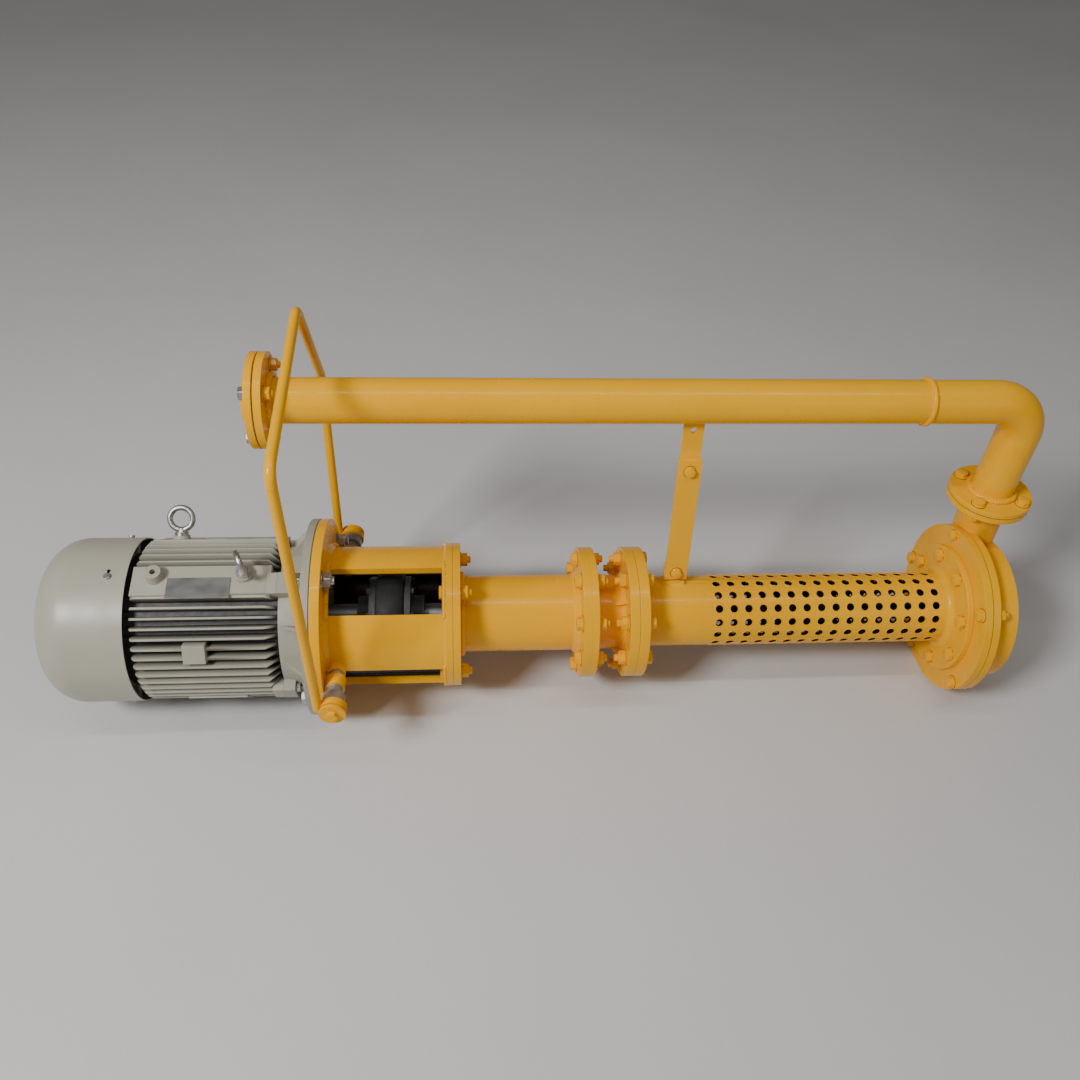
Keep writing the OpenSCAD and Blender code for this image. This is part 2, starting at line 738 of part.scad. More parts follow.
module cable_gland() {
    height = box_r - lid_t - pad_r - 5;
    color(dark_iron) round_axis(x_fins_end + 50, box_angle, pad_r + 5 + height / 2)
        translate([0, 10, 0]) rotate([0, -90, 0]) {
            translate([0, 0, -box_t]) cylinder(h = box_t + 4, r = 12);
            hex(32, 10);
            translate([0, 0, 9]) cylinder(h = 10, r1 = 14, r2 = 11);
        }
}

module motor_shaft() {
    rotor_seat = motor_journal_r + 4;
    fan_seat = motor_journal_r - 4;
    start = x_fan - 6;
    color(bright_steel) spun([[0, start], [fan_seat - 1, start], [fan_seat, start + 1], [fan_seat, x_fan_bearing - 6],
        [motor_journal_r, x_fan_bearing - 6], [motor_journal_r, x_fan_bearing + motor_bearing_w],
        [rotor_seat, x_fan_bearing + motor_bearing_w + 1], [rotor_seat, x_drive_bearing - 1],
        [motor_journal_r, x_drive_bearing], [motor_journal_r, x_drive_bearing + motor_bearing_w + 14],
        [shaft_r, x_drive_bearing + motor_bearing_w + 16], [shaft_r, x_motor_shaft_end - 1],
        [shaft_r - 1, x_motor_shaft_end], [0, x_motor_shaft_end]]);
}

module motor_rotor() {
    seat = motor_journal_r + 4;
    color(dark_iron) {
        disc(x_stator, stator_len, rotor_r, seat);
        for (x = [x_stator - 10, x_stator + stator_len - 1])
            disc(x, 11, rotor_r - 4, seat + 14);
    }
}

module cooling_fan() {
    seat = motor_journal_r - 4;
    color(dark_iron) difference() {
        union() {
            disc(x_fan, 4, fan_d / 2);
            disc(x_fan, fan_hub, seat + 9);
            for (i = [0:fan_blades - 1])
                round_axis(x_fan, i * 360 / fan_blades, seat + 6) translate([2, -2, 0]) cube([fan_w, 4, fan_d / 2 - seat - 8]);
        }
        along(x_fan - over) cylinder(h = fan_hub + 2 * over, r = seat);
    }
}

module coupling_half(hub_x, hub_end, clamp_x, bore) {
    color(dark_iron) difference() {
        union() {
            disc(hub_x, hub_end - hub_x, hub_d / 2);
            disc(clamp_x, clamp_t, clamp_d / 2);
        }
        along(hub_x - over) cylinder(h = hub_end - hub_x + 2 * over, r = bore);
        ring(clamp_x - over, clamp_d / 2 - 10, 8, 0) cylinder(h = clamp_t + 2 * over, r = 4);
    }
}

module coupling_motor_half() coupling_half(x_stool + coupling_start, x_motor_shaft_end, x_clamp, shaft_r);

module coupling_pump_half() coupling_half(x_pump_shaft, x_pump_hub_end, x_tyre_end, pump_shaft_r);

module coupling_tyre() {
    wall = 9;
    bead_r = hub_d / 2 + 4;
    mid = x_tyre + tyre_w / 2;
    crown = tyre_d / 2;
    side = clamp_d / 2;
    color(rubber_black) spun(concat(
        [[bead_r, x_tyre], [side, x_tyre]],
        [for (a = [15:15:165]) [side + (crown - side) * sin(a), mid - tyre_w / 2 * cos(a)]],
        [[side, x_tyre_end], [bead_r, x_tyre_end], [bead_r, x_tyre_end - wall]],
        [for (a = [165:-30:15]) [side - wall + (crown - side) * sin(a), mid - (tyre_w / 2 - wall) * cos(a)]],
        [[bead_r, x_tyre + wall]]));
}

module coupling_screws() {
    color(bright_steel) {
        ring(x_clamp, clamp_d / 2 - 10, 8, 0) screw(clamp_t, 8);
        ring(x_tyre_end + clamp_t, clamp_d / 2 - 10, 8, 0) rotate([180, 0, 0]) screw(clamp_t, 8);
    }
}

// Flange of the stool that carries the motor, with the register's recess
module stool_motor_flange() {
    color(yellow) difference() {
        disc(x_motor, stool_flange_t, motor_flange_r, stool_bore_r);
        along(x_motor - over) cylinder(h = register_h + over + 0.5, r = register_d / 2);
        ring(x_motor - over, motor_bolt_circle / 2, 4, frame_angle)
            cylinder(h = stool_flange_t + 2 * over, r = motor_bolt_d / 2 + bolt_gap);
    }
}

// Four curved arms between the stool's flanges; two of them carry the bosses for the bail's pins
module stool_arms() {
    boss_r = 15;
    boss_h = 20;
    open_angle = 90 - arm_angle;
    color(yellow) difference() {
        union() {
            difference() {
                spun([[stool_bore_r, x_stool], [stool_r + weld, x_stool], [stool_r, x_stool + weld],
                    [stool_r, x_stool_end - weld / 2], [stool_r + weld / 2, x_stool_end], [stool_bore_r, x_stool_end]]);
                for (i = [0:3])
                    translate([x_stool - over, 0, 0]) rotate([window_angle + i * quarter, 0, 0]) rotate([0, 90, 0])
                        rotate([0, 0, 180 - open_angle / 2]) rotate_extrude(angle = open_angle)
                            translate([stool_bore_r - 20, 0]) square([stool_wall + weld + 40, stool_len + 2 * over]);
            }
            for (side = [-1, 1])
                translate([x_pivot, side * (stool_r - 8), 0]) rotate([-90 * side, 0, 0]) cylinder(h = boss_h, r = boss_r);
        }
        for (side = [-1, 1])
            translate([x_pivot, side * (stool_bore_r - 20), 0]) rotate([-90 * side, 0, 0])
                cylinder(h = 60, r = pin_d / 2);
    }
}

// Flange of the stool that sits on the bearing housing
module stool_end_flange() {
    color(yellow) difference() {
        disc(x_stool_end, stool_end_t, stool_end_d / 2, cover_r + 3);
        ring(x_stool_end - over, stool_circle / 2, 4, window_angle)
            cylinder(h = stool_end_t + 2 * over, r = flange_bolt_d / 2 + bolt_gap);
    }
}

module motor_bolts() {
    color(bright_steel) ring(x_motor_flange, motor_bolt_circle / 2, 4, frame_angle)
        bolt(motor_flange_t + stool_flange_t, motor_bolt_d, 5);
}

module stool_bolts() {
    color(yellow) ring(x_stool_end, stool_circle / 2, 4, window_angle) bolt(2 * stool_end_t, flange_bolt_d);
}

module bearing_housing() {
    shoulder_r = bearing_r - 7;
    seat = pump_bearing_w;
    color(yellow) difference() {
        spun([[stool_end_d / 2, x_stool_joint], [stool_end_d / 2, x_housing], [housing_r + weld, x_housing],
            [housing_r, x_housing + weld], [housing_r, x_housing_end - 12], [housing_r + 10, x_housing_end],
            [flange_r, x_housing_end], [flange_r, x_housing_joint],
            [bearing_r, x_housing_joint], [bearing_r, x_housing_joint - seat],
            [shoulder_r, x_housing_joint - seat], [shoulder_r, x_housing_joint - seat - 10],
            [housing_bore_r, x_housing_joint - seat - 16], [housing_bore_r, x_stool_joint + seat + 16],
            [shoulder_r, x_stool_joint + seat + 10], [shoulder_r, x_stool_joint + seat],
            [bearing_r, x_stool_joint + seat], [bearing_r, x_stool_joint]]);
        ring(x_stool_joint - over, stool_circle / 2, 4, window_angle)
            cylinder(h = stool_end_t + 2 * over, r = flange_bolt_d / 2 + bolt_gap);
        ring(x_housing_end - over, flange_circle / 2, flange_bolts, column_angle)
            cylinder(h = housing_end_t + 2 * over, r = flange_bolt_d / 2 + bolt_gap);
        ring(x_stool_joint - over, cover_r - 7, 4, 45) cylinder(h = 14, r = 4);
        ring(x_housing_joint - 13, cover_r - 7, 4, 45) cylinder(h = 14, r = 4);
    }
}

module pump_bearings() {
    for (x = [x_upper_bearing, x_lower_bearing])
        ball_bearing(x, pump_bearing_w, bearing_r, journal_r);
}

// Bearing cover that holds a lip seal; the seal's side faces away from the bearing
module bearing_cover(x, seal_x) {
    color(yellow) difference() {
        disc(x, cover_t, cover_r, journal_r + 2);
        along(seal_x) cylinder(h = seal_w, r = seal_r);
        ring(x - over, cover_r - 7, 4, 45) cylinder(h = cover_t + 2 * over, r = 4);
    }
}

module bearing_covers() {
    bearing_cover(x_stool_joint - cover_t, x_stool_joint - cover_t);
    bearing_cover(x_housing_joint, x_housing_joint + cover_t - seal_w);
}

module cover_screws() {
    color(bright_steel) {
        ring(x_stool_joint - cover_t, cover_r - 7, 4, 45) screw(cover_t + 11, 8);
        ring(x_housing_joint + cover_t, cover_r - 7, 4, 45) rotate([180, 0, 0]) screw(cover_t + 11, 8);
    }
}

module shaft_seals() {
    color(rubber_black) {
        disc(x_stool_joint - cover_t, seal_w, seal_r, journal_r + run_gap);
        disc(x_housing_joint + cover_t - seal_w, seal_w, seal_r, journal_r + run_gap);
    }
}

module pump_shaft() {
    thread_r = seat_r - 4;
    upper_end = x_upper_bearing + pump_bearing_w;
    color(bright_steel) spun([[0, x_pump_shaft], [pump_shaft_r - 1, x_pump_shaft], [pump_shaft_r, x_pump_shaft + 1],
        [pump_shaft_r, x_pump_hub_end + 2], [journal_r, x_pump_hub_end + 4], [journal_r, upper_end],
        [pump_body_r, upper_end], [pump_body_r, x_lower_bearing], [journal_r, x_lower_bearing],
        [journal_r, x_housing_joint + cover_t + 2], [pump_body_r, x_housing_joint + cover_t + 4],
        [pump_body_r, x_shroud - 1], [seat_r, x_shroud - 1], [seat_r, x_nut], [thread_r, x_nut],
        [thread_r, x_nut + 14], [0, x_nut + 14]]);
}

module neck_spool() {
    taper = 4;
    bore = cover_r + 2;
    rib_len = 20;
    rib_angle = column_angle + 180 / flange_bolts;
    color(yellow) difference() {
        union() {
            spun([[flange_r, x_housing_joint], [flange_r, x_neck], [neck_d / 2 + 3, x_neck],
                [neck_d / 2, x_neck + 3], [neck_d / 2 - taper, x_neck_end - weld], [neck_d / 2 + 4, x_neck_end],
                [flange_r, x_neck_end], [flange_r, x_neck_joint], [bore - 6, x_neck_joint], [bore - 6, x_neck + 10],
                [bore, x_neck + 4], [bore, x_housing_joint]]);
            for (i = [0:3])
                round_axis(x_neck_end - rib_len, rib_angle + i * quarter, 0) rotate([90, 0, 0])
                    translate([0, 0, -3]) linear_extrude(6)
                        polygon([[0, neck_d / 2 - taper - 2], [rib_len + 1, neck_d / 2 - taper - 2],
                            [rib_len + 1, neck_d / 2 + 20], [0, neck_d / 2 - taper + 1]]);
        }
        ring(x_housing_joint - over, flange_circle / 2, flange_bolts, column_angle)
            cylinder(h = neck_top_t + 2 * over, r = flange_bolt_d / 2 + bolt_gap);
        ring(x_neck_end - over, flange_circle / 2, flange_bolts, column_angle)
            cylinder(h = neck_end_t + 2 * over, r = flange_bolt_d / 2 + bolt_gap);
    }
}

module housing_bolts() {
    color(yellow) ring(x_housing_end, flange_circle / 2, flange_bolts, column_angle)
        bolt(housing_end_t + neck_top_t, flange_bolt_d);
}

module neck_bolts() {
    color(yellow) ring(x_strainer, flange_circle / 2, flange_bolts, column_angle) rotate([180, 0, 0])
        bolt(strainer_top_t + neck_end_t, flange_bolt_d, 8);
}

// Perforated tube round the shaft, with its two flanges and the strap's lower lug
module strainer_column() {
    first_row = 19.5;
    x_last = x_strainer_flange - strainer_margin;
    flare = 12;
    color(yellow) difference() {
        union() {
            spun([[flange_r, x_neck_joint], [flange_r, x_strainer], [strainer_r + weld, x_strainer],
                [strainer_r, x_strainer + weld], [strainer_r, x_strainer_flange - flare],
                [strainer_r + 4, x_strainer_flange - flare / 3], [strainer_r + flare, x_strainer_flange],
                [flange_r, x_strainer_flange], [flange_r, x_plate],
                [strainer_bore_r, x_plate], [strainer_bore_r, x_neck_joint]]);
            round_axis(x_strap, strap_angle, strainer_r - 3) translate([-strap_w / 2, 0, 0])
                cube([strap_w, strap_t, strap_low + 14 - strainer_r + 3]);
            round_axis(x_strap, strap_angle, strainer_r - 3) translate([-strap_w / 2 - 3, -strap_t - 2, 0])
                cube([strap_w, 2 * strap_t, 8]);
        }
        for (i = [0:strainer_columns - 1], j = [0:strainer_rows - 1])
            round_axis(x_last - i * strainer_pitch, first_row + j * 360 / strainer_rows, strainer_bore_r - 3)
                cylinder(h = strainer_wall + 6, r = strainer_hole_d / 2);
        ring(x_neck_joint - over, flange_circle / 2, flange_bolts, column_angle)
            cylinder(h = strainer_top_t + 2 * over, r = flange_bolt_d / 2 + bolt_gap);
        ring(x_strainer_flange - over, flange_circle / 2 + 2, flange_bolts, plate_screw_angle)
            cylinder(h = strainer_end_t + 2 * over, r = flange_bolt_d / 2 + bolt_gap);
        round_axis(x_strap, strap_angle, strap_low) translate([0, -over, 0]) rotate([-90, 0, 0])
            cylinder(h = strap_t + 2 * over, r = strap_bolt_d / 2 + bolt_gap / 2);
    }
}

module column_screws() {
    color(yellow) ring(x_strainer_flange, flange_circle / 2 + 2, flange_bolts, plate_screw_angle)
        screw(strainer_end_t + casing_plate_t - 3, flange_bolt_d);
}

module casing_plate() {
    color(yellow) difference() {
        disc(x_plate, casing_plate_t, casing_d / 2, bush_r);
        ring(x_plate - over, casing_circle / 2, casing_bolts, casing_angle)
            cylinder(h = casing_plate_t + 2 * over, r = casing_bolt_d / 2 + bolt_gap);
        ring(x_plate - over, flange_circle / 2 + 2, flange_bolts, plate_screw_angle)
            cylinder(h = casing_plate_t - 3 + over, r = flange_bolt_d / 2);
    }
}

// Bush that throttles the leak along the shaft behind the impeller
module throat_bush() {
    color(bronze) {
        disc(x_plate, casing_plate_t, bush_r, pump_body_r + 0.5);
        disc(x_plate - 5, 5, bush_r + 6, pump_body_r + 0.5);
    }
}

module casing_gasket() {
    color(rubber_black) difference() {
        disc(x_plate_face, gasket_t, casing_d / 2 - 1, casing_circle / 2 - 14);
        ring(x_plate_face - over, casing_circle / 2, casing_bolts, casing_angle)
            cylinder(h = gasket_t + 2 * over, r = casing_bolt_d / 2 + bolt_gap);
    }
}

// Radius of the spiral at an angle past the tongue
function spiral(a) = spiral_start + spiral_growth * a / 360;

module spiral_outline() {
    step = 10;
    tongue_angle = -15;
    polygon([for (a = [0:step:350])
        [-spiral(a) * sin(a + tongue_angle), spiral(a) * cos(a + tongue_angle)]]);
}

module volute_casing() {
    neck_r = pipe_r + 2;
    joint_z = outlet_joint_z;
    flange_z = joint_z - outlet_flange_t;
    throat_z = flange_z - 34;
    body_left = x_rim + 9;
    body_w = x_back - 6 - body_left;
    color(yellow) difference() {
        union() {
            disc(x_rim, casing_rim_t, casing_d / 2);
            disc(x_body - over, volute_w + over, volute_r);
            hull() {
                translate([body_left, pipe_y - neck_r, 70]) cube([body_w, 2 * neck_r - 8, 20]);
                translate([x_outlet, pipe_y, flange_z - 14]) cylinder(h = 4, r = neck_r + 1, $fn = 32);
            }
            translate([x_outlet, pipe_y, flange_z - 14]) cylinder(h = 15, r = neck_r);
            translate([x_outlet, pipe_y, flange_z]) cylinder(h = outlet_flange_t, r = outlet_flange_d / 2);
        }
        translate([x_rim - over, 0, 0]) rotate([90, 0, 90])
            linear_extrude(x_back - volute_wall - x_rim + over) spiral_outline();
        along(x_back - volute_wall - over) cylinder(h = volute_wall + 2 * over, r = suction_d / 2 + 14);
        hull() {
            translate([body_left + 6, pipe_y - pipe_bore_r + 4, 60]) cube([body_w - 10, 2 * pipe_bore_r - 14, 4]);
            translate([x_outlet, pipe_y, throat_z]) cylinder(h = 1, r = pipe_bore_r - 1, $fn = 32);
        }
        translate([x_outlet, pipe_y, throat_z]) cylinder(h = joint_z - throat_z + over, r = pipe_bore_r);
        ring(x_rim - over, casing_circle / 2, casing_bolts, casing_angle)
            cylinder(h = casing_rim_t + 2 * over, r = casing_bolt_d / 2 + bolt_gap);
        outlet_ring() translate([0, 0, flange_z - over])
            cylinder(h = outlet_flange_t + 2 * over, r = pipe_bolt_d / 2 + bolt_gap);
        disc(x_plate, x_rim - x_plate, casing_d / 2 + over);
        ring(x_back - volute_wall, suction_cover_d / 2 - 12, 8, 0) cylinder(h = volute_wall + over, r = 5);
    }
}

// Ring of four places on the casing's outlet flange, with their Z up
module outlet_ring() {
    for (i = [0:3])
        translate([x_outlet, pipe_y, 0]) rotate([0, 0, 45 + i * quarter]) translate([pipe_circle / 2, 0, 0]) children();
}

// Bolts round the casing; the last one is a screw, because the outlet's neck is behind it
module casing_bolts_nuts() {
    grip = casing_plate_t + gasket_t + casing_rim_t;
    color(yellow) for (i = [0:casing_bolts - 1])
        round_axis(x_plate, casing_angle + i * 360 / casing_bolts, casing_circle / 2) rotate([0, 90, 0])
            if (i < casing_bolts - 1) bolt(grip, casing_bolt_d, 7);
            else screw(grip - 1, casing_bolt_d);
}

// Point on one face of a vane: t runs from the hub to the rim, and the vane trails as it goes out
function vane_point(t, side) = let (r = vane_in_r + (impeller_r - 1 - vane_in_r) * t,
    a = -vane_sweep * t + side * vane_t / 2 / r * 180 / PI) [r * cos(a), r * sin(a)];

// Backward curved vanes on a round plate
module impeller() {
    steps = 10;
    hub_r = seat_r + 9;
    color(dark_iron) difference() {
        union() {
            disc(x_shroud, shroud_t, impeller_r);
            disc(x_shroud, x_nut - x_shroud, hub_r);
            for (i = [0:vane_count - 1])
                along(x_vanes - over) rotate(i * 360 / vane_count) linear_extrude(vane_h + over)
                    polygon(concat([for (k = [0:steps]) vane_point(k / steps, -1)],
                        [for (k = [steps:-1:0]) vane_point(k / steps, 1)]));
        }
        along(x_shroud - over) cylinder(h = vane_h + shroud_t + 2 * over, r = seat_r);
    }
}

module impeller_nut() {
    color(bright_steel) difference() {
        union() {
            along(x_nut) hex(nut_af, 16);
            disc(x_nut + 15, 4, 14);
        }
        along(x_nut - over) cylinder(h = 14 + over, r = seat_r - 4);
    }
}

// Cover that closes the volute, with its spigot; its register reaches in to the vanes
module suction_cover() {
    bore = suction_d / 2;
    register_r = bore + 14;
    color(yellow) difference() {
        spun([[bore, x_vane_end + impeller_gap], [register_r, x_vane_end + impeller_gap], [register_r, x_back],
            [suction_cover_d / 2, x_back], [suction_cover_d / 2, x_cover], [bore + spigot_wall + 5, x_cover],
            [bore + spigot_wall, x_cover + 5], [bore + spigot_wall, 0], [bore, 0]]);
        ring(x_back - over, suction_cover_d / 2 - 12, 8, 0) cylinder(h = suction_plate_t + 2 * over, r = 5.5);
    }
}

module suction_screws() {
    color(yellow) ring(x_cover, suction_cover_d / 2 - 12, 8, 0) rotate([180, 0, 0])
        screw(suction_plate_t + volute_wall, 10);
}

// Flanged stub, bend and straight end, as one welded piece
module discharge_elbow() {
    base_z = outlet_joint_z + gasket_t;
    bend_z = pipe_z - elbow_r;
    color(yellow) difference() {
        union() {
            translate([x_outlet, pipe_y, base_z]) cylinder(h = outlet_flange_t, r = outlet_flange_d / 2);
            translate([x_outlet, pipe_y, base_z]) cylinder(h = bend_z - base_z, r = pipe_r);
            translate([x_outlet, pipe_y, base_z + outlet_flange_t]) cylinder(h = weld, r1 = pipe_r + weld, r2 = pipe_r);
            elbow_bend(pipe_r);
            translate([x_weld, pipe_y, pipe_z]) rotate([0, 90, 0]) cylinder(h = elbow_len - elbow_r, r = pipe_r);
        }
        translate([x_outlet, pipe_y, base_z - over]) cylinder(h = bend_z - base_z + over, r = pipe_bore_r);
        elbow_bend(pipe_bore_r);
        translate([x_weld - over, pipe_y, pipe_z]) rotate([0, 90, 0])
            cylinder(h = elbow_len - elbow_r + over, r = pipe_bore_r);
        outlet_ring() translate([0, 0, base_z - over])
            cylinder(h = outlet_flange_t + 2 * over, r = pipe_bolt_d / 2 + bolt_gap);
    }
}

module elbow_bend(r) {
    translate([x_outlet - elbow_r, pipe_y, pipe_z - elbow_r]) rotate([90, 0, 0])
        rotate_extrude(angle = 90) translate([elbow_r, 0]) circle(r = r);
}

module elbow_gasket() {
    color(rubber_black) difference() {
        translate([x_outlet, pipe_y, outlet_joint_z]) cylinder(h = gasket_t, r = outlet_flange_d / 2 - 1);
        translate([x_outlet, pipe_y, outlet_joint_z - over]) cylinder(h = gasket_t + 2 * over, r = pipe_bore_r);
        outlet_ring() translate([0, 0, outlet_joint_z - over])
            cylinder(h = gasket_t + 2 * over, r = pipe_bolt_d / 2 + bolt_gap);
    }
}

module elbow_bolts() {
    color(yellow) outlet_ring() translate([0, 0, outlet_joint_z + gasket_t + outlet_flange_t]) rotate([180, 0, 0])
        bolt(2 * outlet_flange_t + gasket_t, pipe_bolt_d, 4);
}

// Places its children on the discharge pipe's axis at x, with their Z along X
module on_pipe(x) translate([x, pipe_y, pipe_z]) rotate([0, 90, 0]) children();

// Ring of four places on the open end's flanges, with their Z along X
module end_ring(x) {
    for (i = [0:3])
        on_pipe(x) rotate([0, 0, 45 + i * quarter]) translate([pipe_circle / 2, 0, 0]) children();
}

// Long pipe with its end flange and the weld bead at the elbow
module discharge_pipe() {
    bead = 4.5;
    color(yellow) difference() {
        union() {
            on_pipe(x_pipe_end) cylinder(h = x_weld - x_pipe_end, r = pipe_r);
            on_pipe(x_pipe_end - end_flange_t) cylinder(h = end_flange_t, r = end_flange_d / 2);
            on_pipe(x_pipe_end) cylinder(h = weld, r1 = pipe_r + weld, r2 = pipe_r);
            on_pipe(x_weld - bead) rotate_extrude() translate([pipe_r, 0]) circle(r = bead);
        }
        on_pipe(x_pipe_end - end_flange_t - over)
            cylinder(h = x_weld - x_pipe_end + end_flange_t + 2 * over, r = pipe_bore_r);
        end_ring(x_pipe_end - end_flange_t - over)
            cylinder(h = end_flange_t + 2 * over, r = pipe_bolt_d / 2 + bolt_gap);
    }
}

// Tab under the discharge pipe that the strap bolts to
module pipe_tab() {
    foot = 26;
    tab_top = axis_gap - pipe_r + 3;
    color(yellow) difference() {
        round_axis(x_strap, strap_angle, strap_high - foot) translate([-strap_w / 2 + 3, 0, 0])
            cube([strap_w - 6, strap_t, tab_top - strap_high + foot]);
        on_pipe(x_strap - strap_w) cylinder(h = 2 * strap_w, r = pipe_r);
        for (r = [strap_high, axis_gap - pipe_r - 16])
            round_axis(x_strap, strap_angle, r) translate([0, -over, 0]) rotate([-90, 0, 0])
                cylinder(h = strap_t + 2 * over, r = strap_bolt_d / 2 + bolt_gap / 2);
    }
}

module outlet_flange() {
    color(yellow) difference() {
        union() {
            on_pipe(x_end_joint - end_flange_t) cylinder(h = end_flange_t, r = end_flange_d / 2);
            on_pipe(x_nipple) cylinder(h = nipple_len, r = pipe_r);
        }
        on_pipe(x_nipple - over) cylinder(h = nipple_len + end_flange_t + 2 * over, r = pipe_bore_r);
        end_ring(x_end_joint - end_flange_t - over)
            cylinder(h = end_flange_t + 2 * over, r = pipe_bolt_d / 2 + bolt_gap);
    }
}

module outlet_gasket() {
    color(rubber_black) difference() {
        on_pipe(x_end_joint) cylinder(h = end_gasket_t, r = end_flange_d / 2 - 3);
        on_pipe(x_end_joint - over) cylinder(h = end_gasket_t + 2 * over, r = pipe_bore_r);
        end_ring(x_end_joint - over) cylinder(h = end_gasket_t + 2 * over, r = pipe_bolt_d / 2 + bolt_gap);
    }
}

module outlet_bolts() {
    color(bright_steel) end_ring(x_end_joint - end_flange_t)
        bolt(2 * end_flange_t + end_gasket_t, pipe_bolt_d, 4);
}

// Flat bar that ties the discharge pipe to the strainer column
module support_strap() {
    low = strap_low - 15;
    high = strap_high + 20;
    color(yellow) difference() {
        round_axis(x_strap, strap_angle, low) translate([-strap_w / 2, -strap_t, 0]) cube([strap_w, strap_t, high - low]);
        for (r = [strap_low, strap_high])
            round_axis(x_strap, strap_angle, r) translate([0, -strap_t - over, 0]) rotate([-90, 0, 0])
                cylinder(h = strap_t + 2 * over, r = strap_bolt_d / 2 + bolt_gap / 2);
    }
}

module strap_bolts() {
    color(yellow) for (r = [strap_low, strap_high])
        round_axis(x_strap, strap_angle, r) translate([0, -strap_t, 0]) rotate([-90, 0, 0])
            bolt(2 * strap_t, strap_bolt_d, 3);
}

// Round bar bent through a list of [y, z] points, with the same bend radius at each
module bent_bar(path, r, bend) {
    n = len(path);
    for (i = [0:n - 2]) {
        a = path[i];
        b = path[i + 1];
        dir = (b - a) / norm(b - a);
        cut_a = i == 0 ? 0 : corner_cut(path, i, bend);
        cut_b = i == n - 2 ? 0 : corner_cut(path, i + 1, bend);
        start = a + dir * cut_a;
        translate([0, start.x, start.y]) rotate([-atan2(dir.x, dir.y), 0, 0])
            cylinder(h = norm(b - a) - cut_a - cut_b, r = r);
    }
    for (i = [1:n - 2])
        bar_corner(path[i - 1], path[i], path[i + 1], r, bend);
}

// Turn of the bar at a corner, in degrees, positive anticlockwise
function turn(a, b, c) = atan2((b - a).x * (c - b).y - (b - a).y * (c - b).x, (b - a) * (c - b));

// Length that the bend takes from each side of a corner
function corner_cut(path, i, bend) = bend * tan(abs(turn(path[i - 1], path[i], path[i + 1])) / 2);

module bar_corner(a, b, c, r, bend) {
    t = turn(a, b, c);
    dir = (b - a) / norm(b - a);
    side = t > 0 ? [-dir.y, dir.x] : [dir.y, -dir.x];
    centre = b - dir * bend * tan(abs(t) / 2) + side * bend;
    from = atan2(-side.y, -side.x);
    translate([0, centre.x, centre.y]) rotate([90, 0, 90]) rotate([0, 0, t > 0 ? from : from + t]) {
        rotate_extrude(angle = abs(t)) translate([bend, 0]) circle(r = r);
        for (end = [0, abs(t)])
            rotate([0, 0, end]) translate([bend, 0, 0]) sphere(r = r + bend_swell);
    }
}

module lifting_bail() {
    bore = pin_d / 2 + pin_gap;
    leg_start = [[-bail_side, 0], [bail_side, 0]];
    color(yellow) difference() {
        union() {
            translate([x_pivot, 0, 0]) rotate([0, -bail_lean, 0]) translate([-bail_offset, 0, 0])
                bent_bar(bail_path, bail_d / 2, bail_bend);
            for (p = leg_start)
                translate([x_pivot, p.x - eye_t / 2, 0]) rotate([-90, 0, 0]) cylinder(h = eye_t, r = eye_d / 2);
        }
        for (p = leg_start)
            translate([x_pivot, p.x - eye_t, 0]) rotate([-90, 0, 0]) cylinder(h = 2 * eye_t, r = bore);
    }
}

// Pins in the stool's bosses, each with its head and washer outside the bail's eye
module pivot_pins() {
    inner = stool_r - 10;
    head_y = bail_side + eye_t / 2 + 0.5;
    bar_gap = bail_d / 2 - eye_t / 2 + 0.5;
    color(yellow) for (side = [-1, 1])
        translate([x_pivot, side * inner, 0]) rotate([-90 * side, 0, 0]) {
            cylinder(h = head_y - inner + 1, r = pin_d / 2);
            translate([0, 0, head_y - inner]) cylinder(h = bar_gap + over, r = pivot_washer_r);
            translate([0, 0, head_y - inner + bar_gap]) cylinder(h = 5, r = pivot_head_r);
            translate([0, 0, head_y - inner + bar_gap + 4]) hex(17, 8);
        }
}

// Spacer tubes and grey rings between the stool's bosses and the bail's eyes
module pivot_spacers() {
    inner = stool_r + 12;
    outer = bail_side - eye_t / 2 - 0.5;
    color(bright_steel) for (side = [-1, 1])
        translate([x_pivot, side * inner, 0]) rotate([-90 * side, 0, 0]) difference() {
            union() {
                cylinder(h = outer - inner, r = 13);
                translate([0, 0, 10]) cylinder(h = 22, r = 16);
                translate([0, 0, outer - inner - 18]) cylinder(h = 18, r = pivot_washer_r);
            }
            translate([0, 0, -over]) cylinder(h = outer - inner + 2 * over, r = pin_d / 2);
        }
}

motor_frame();
drive_end_shield();
fan_end_shield();
shield_screws();
fan_cowl();
cowl_screws();
stator_core();
stator_windings();
motor_bearings();
eye_bolts();
rating_plate();
terminal_box();
terminal_box_lid();
lid_screws();
cable_gland();
motor_shaft();
motor_rotor();
cooling_fan();
coupling_motor_half();
coupling_tyre();
coupling_pump_half();
coupling_screws();
stool_motor_flange();
stool_arms();
stool_end_flange();
motor_bolts();
stool_bolts();
bearing_housing();
pump_bearings();
bearing_covers();
cover_screws();
shaft_seals();
pump_shaft();
neck_spool();
housing_bolts();
neck_bolts();
strainer_column();
column_screws();
casing_plate();
throat_bush();
casing_gasket();
volute_casing();
casing_bolts_nuts();
impeller();
impeller_nut();
suction_cover();
suction_screws();
discharge_elbow();
elbow_gasket();
elbow_bolts();
discharge_pipe();
pipe_tab();
outlet_flange();
outlet_gasket();
outlet_bolts();
support_strap();
strap_bolts();
lifting_bail();
pivot_pins();
pivot_spacers();
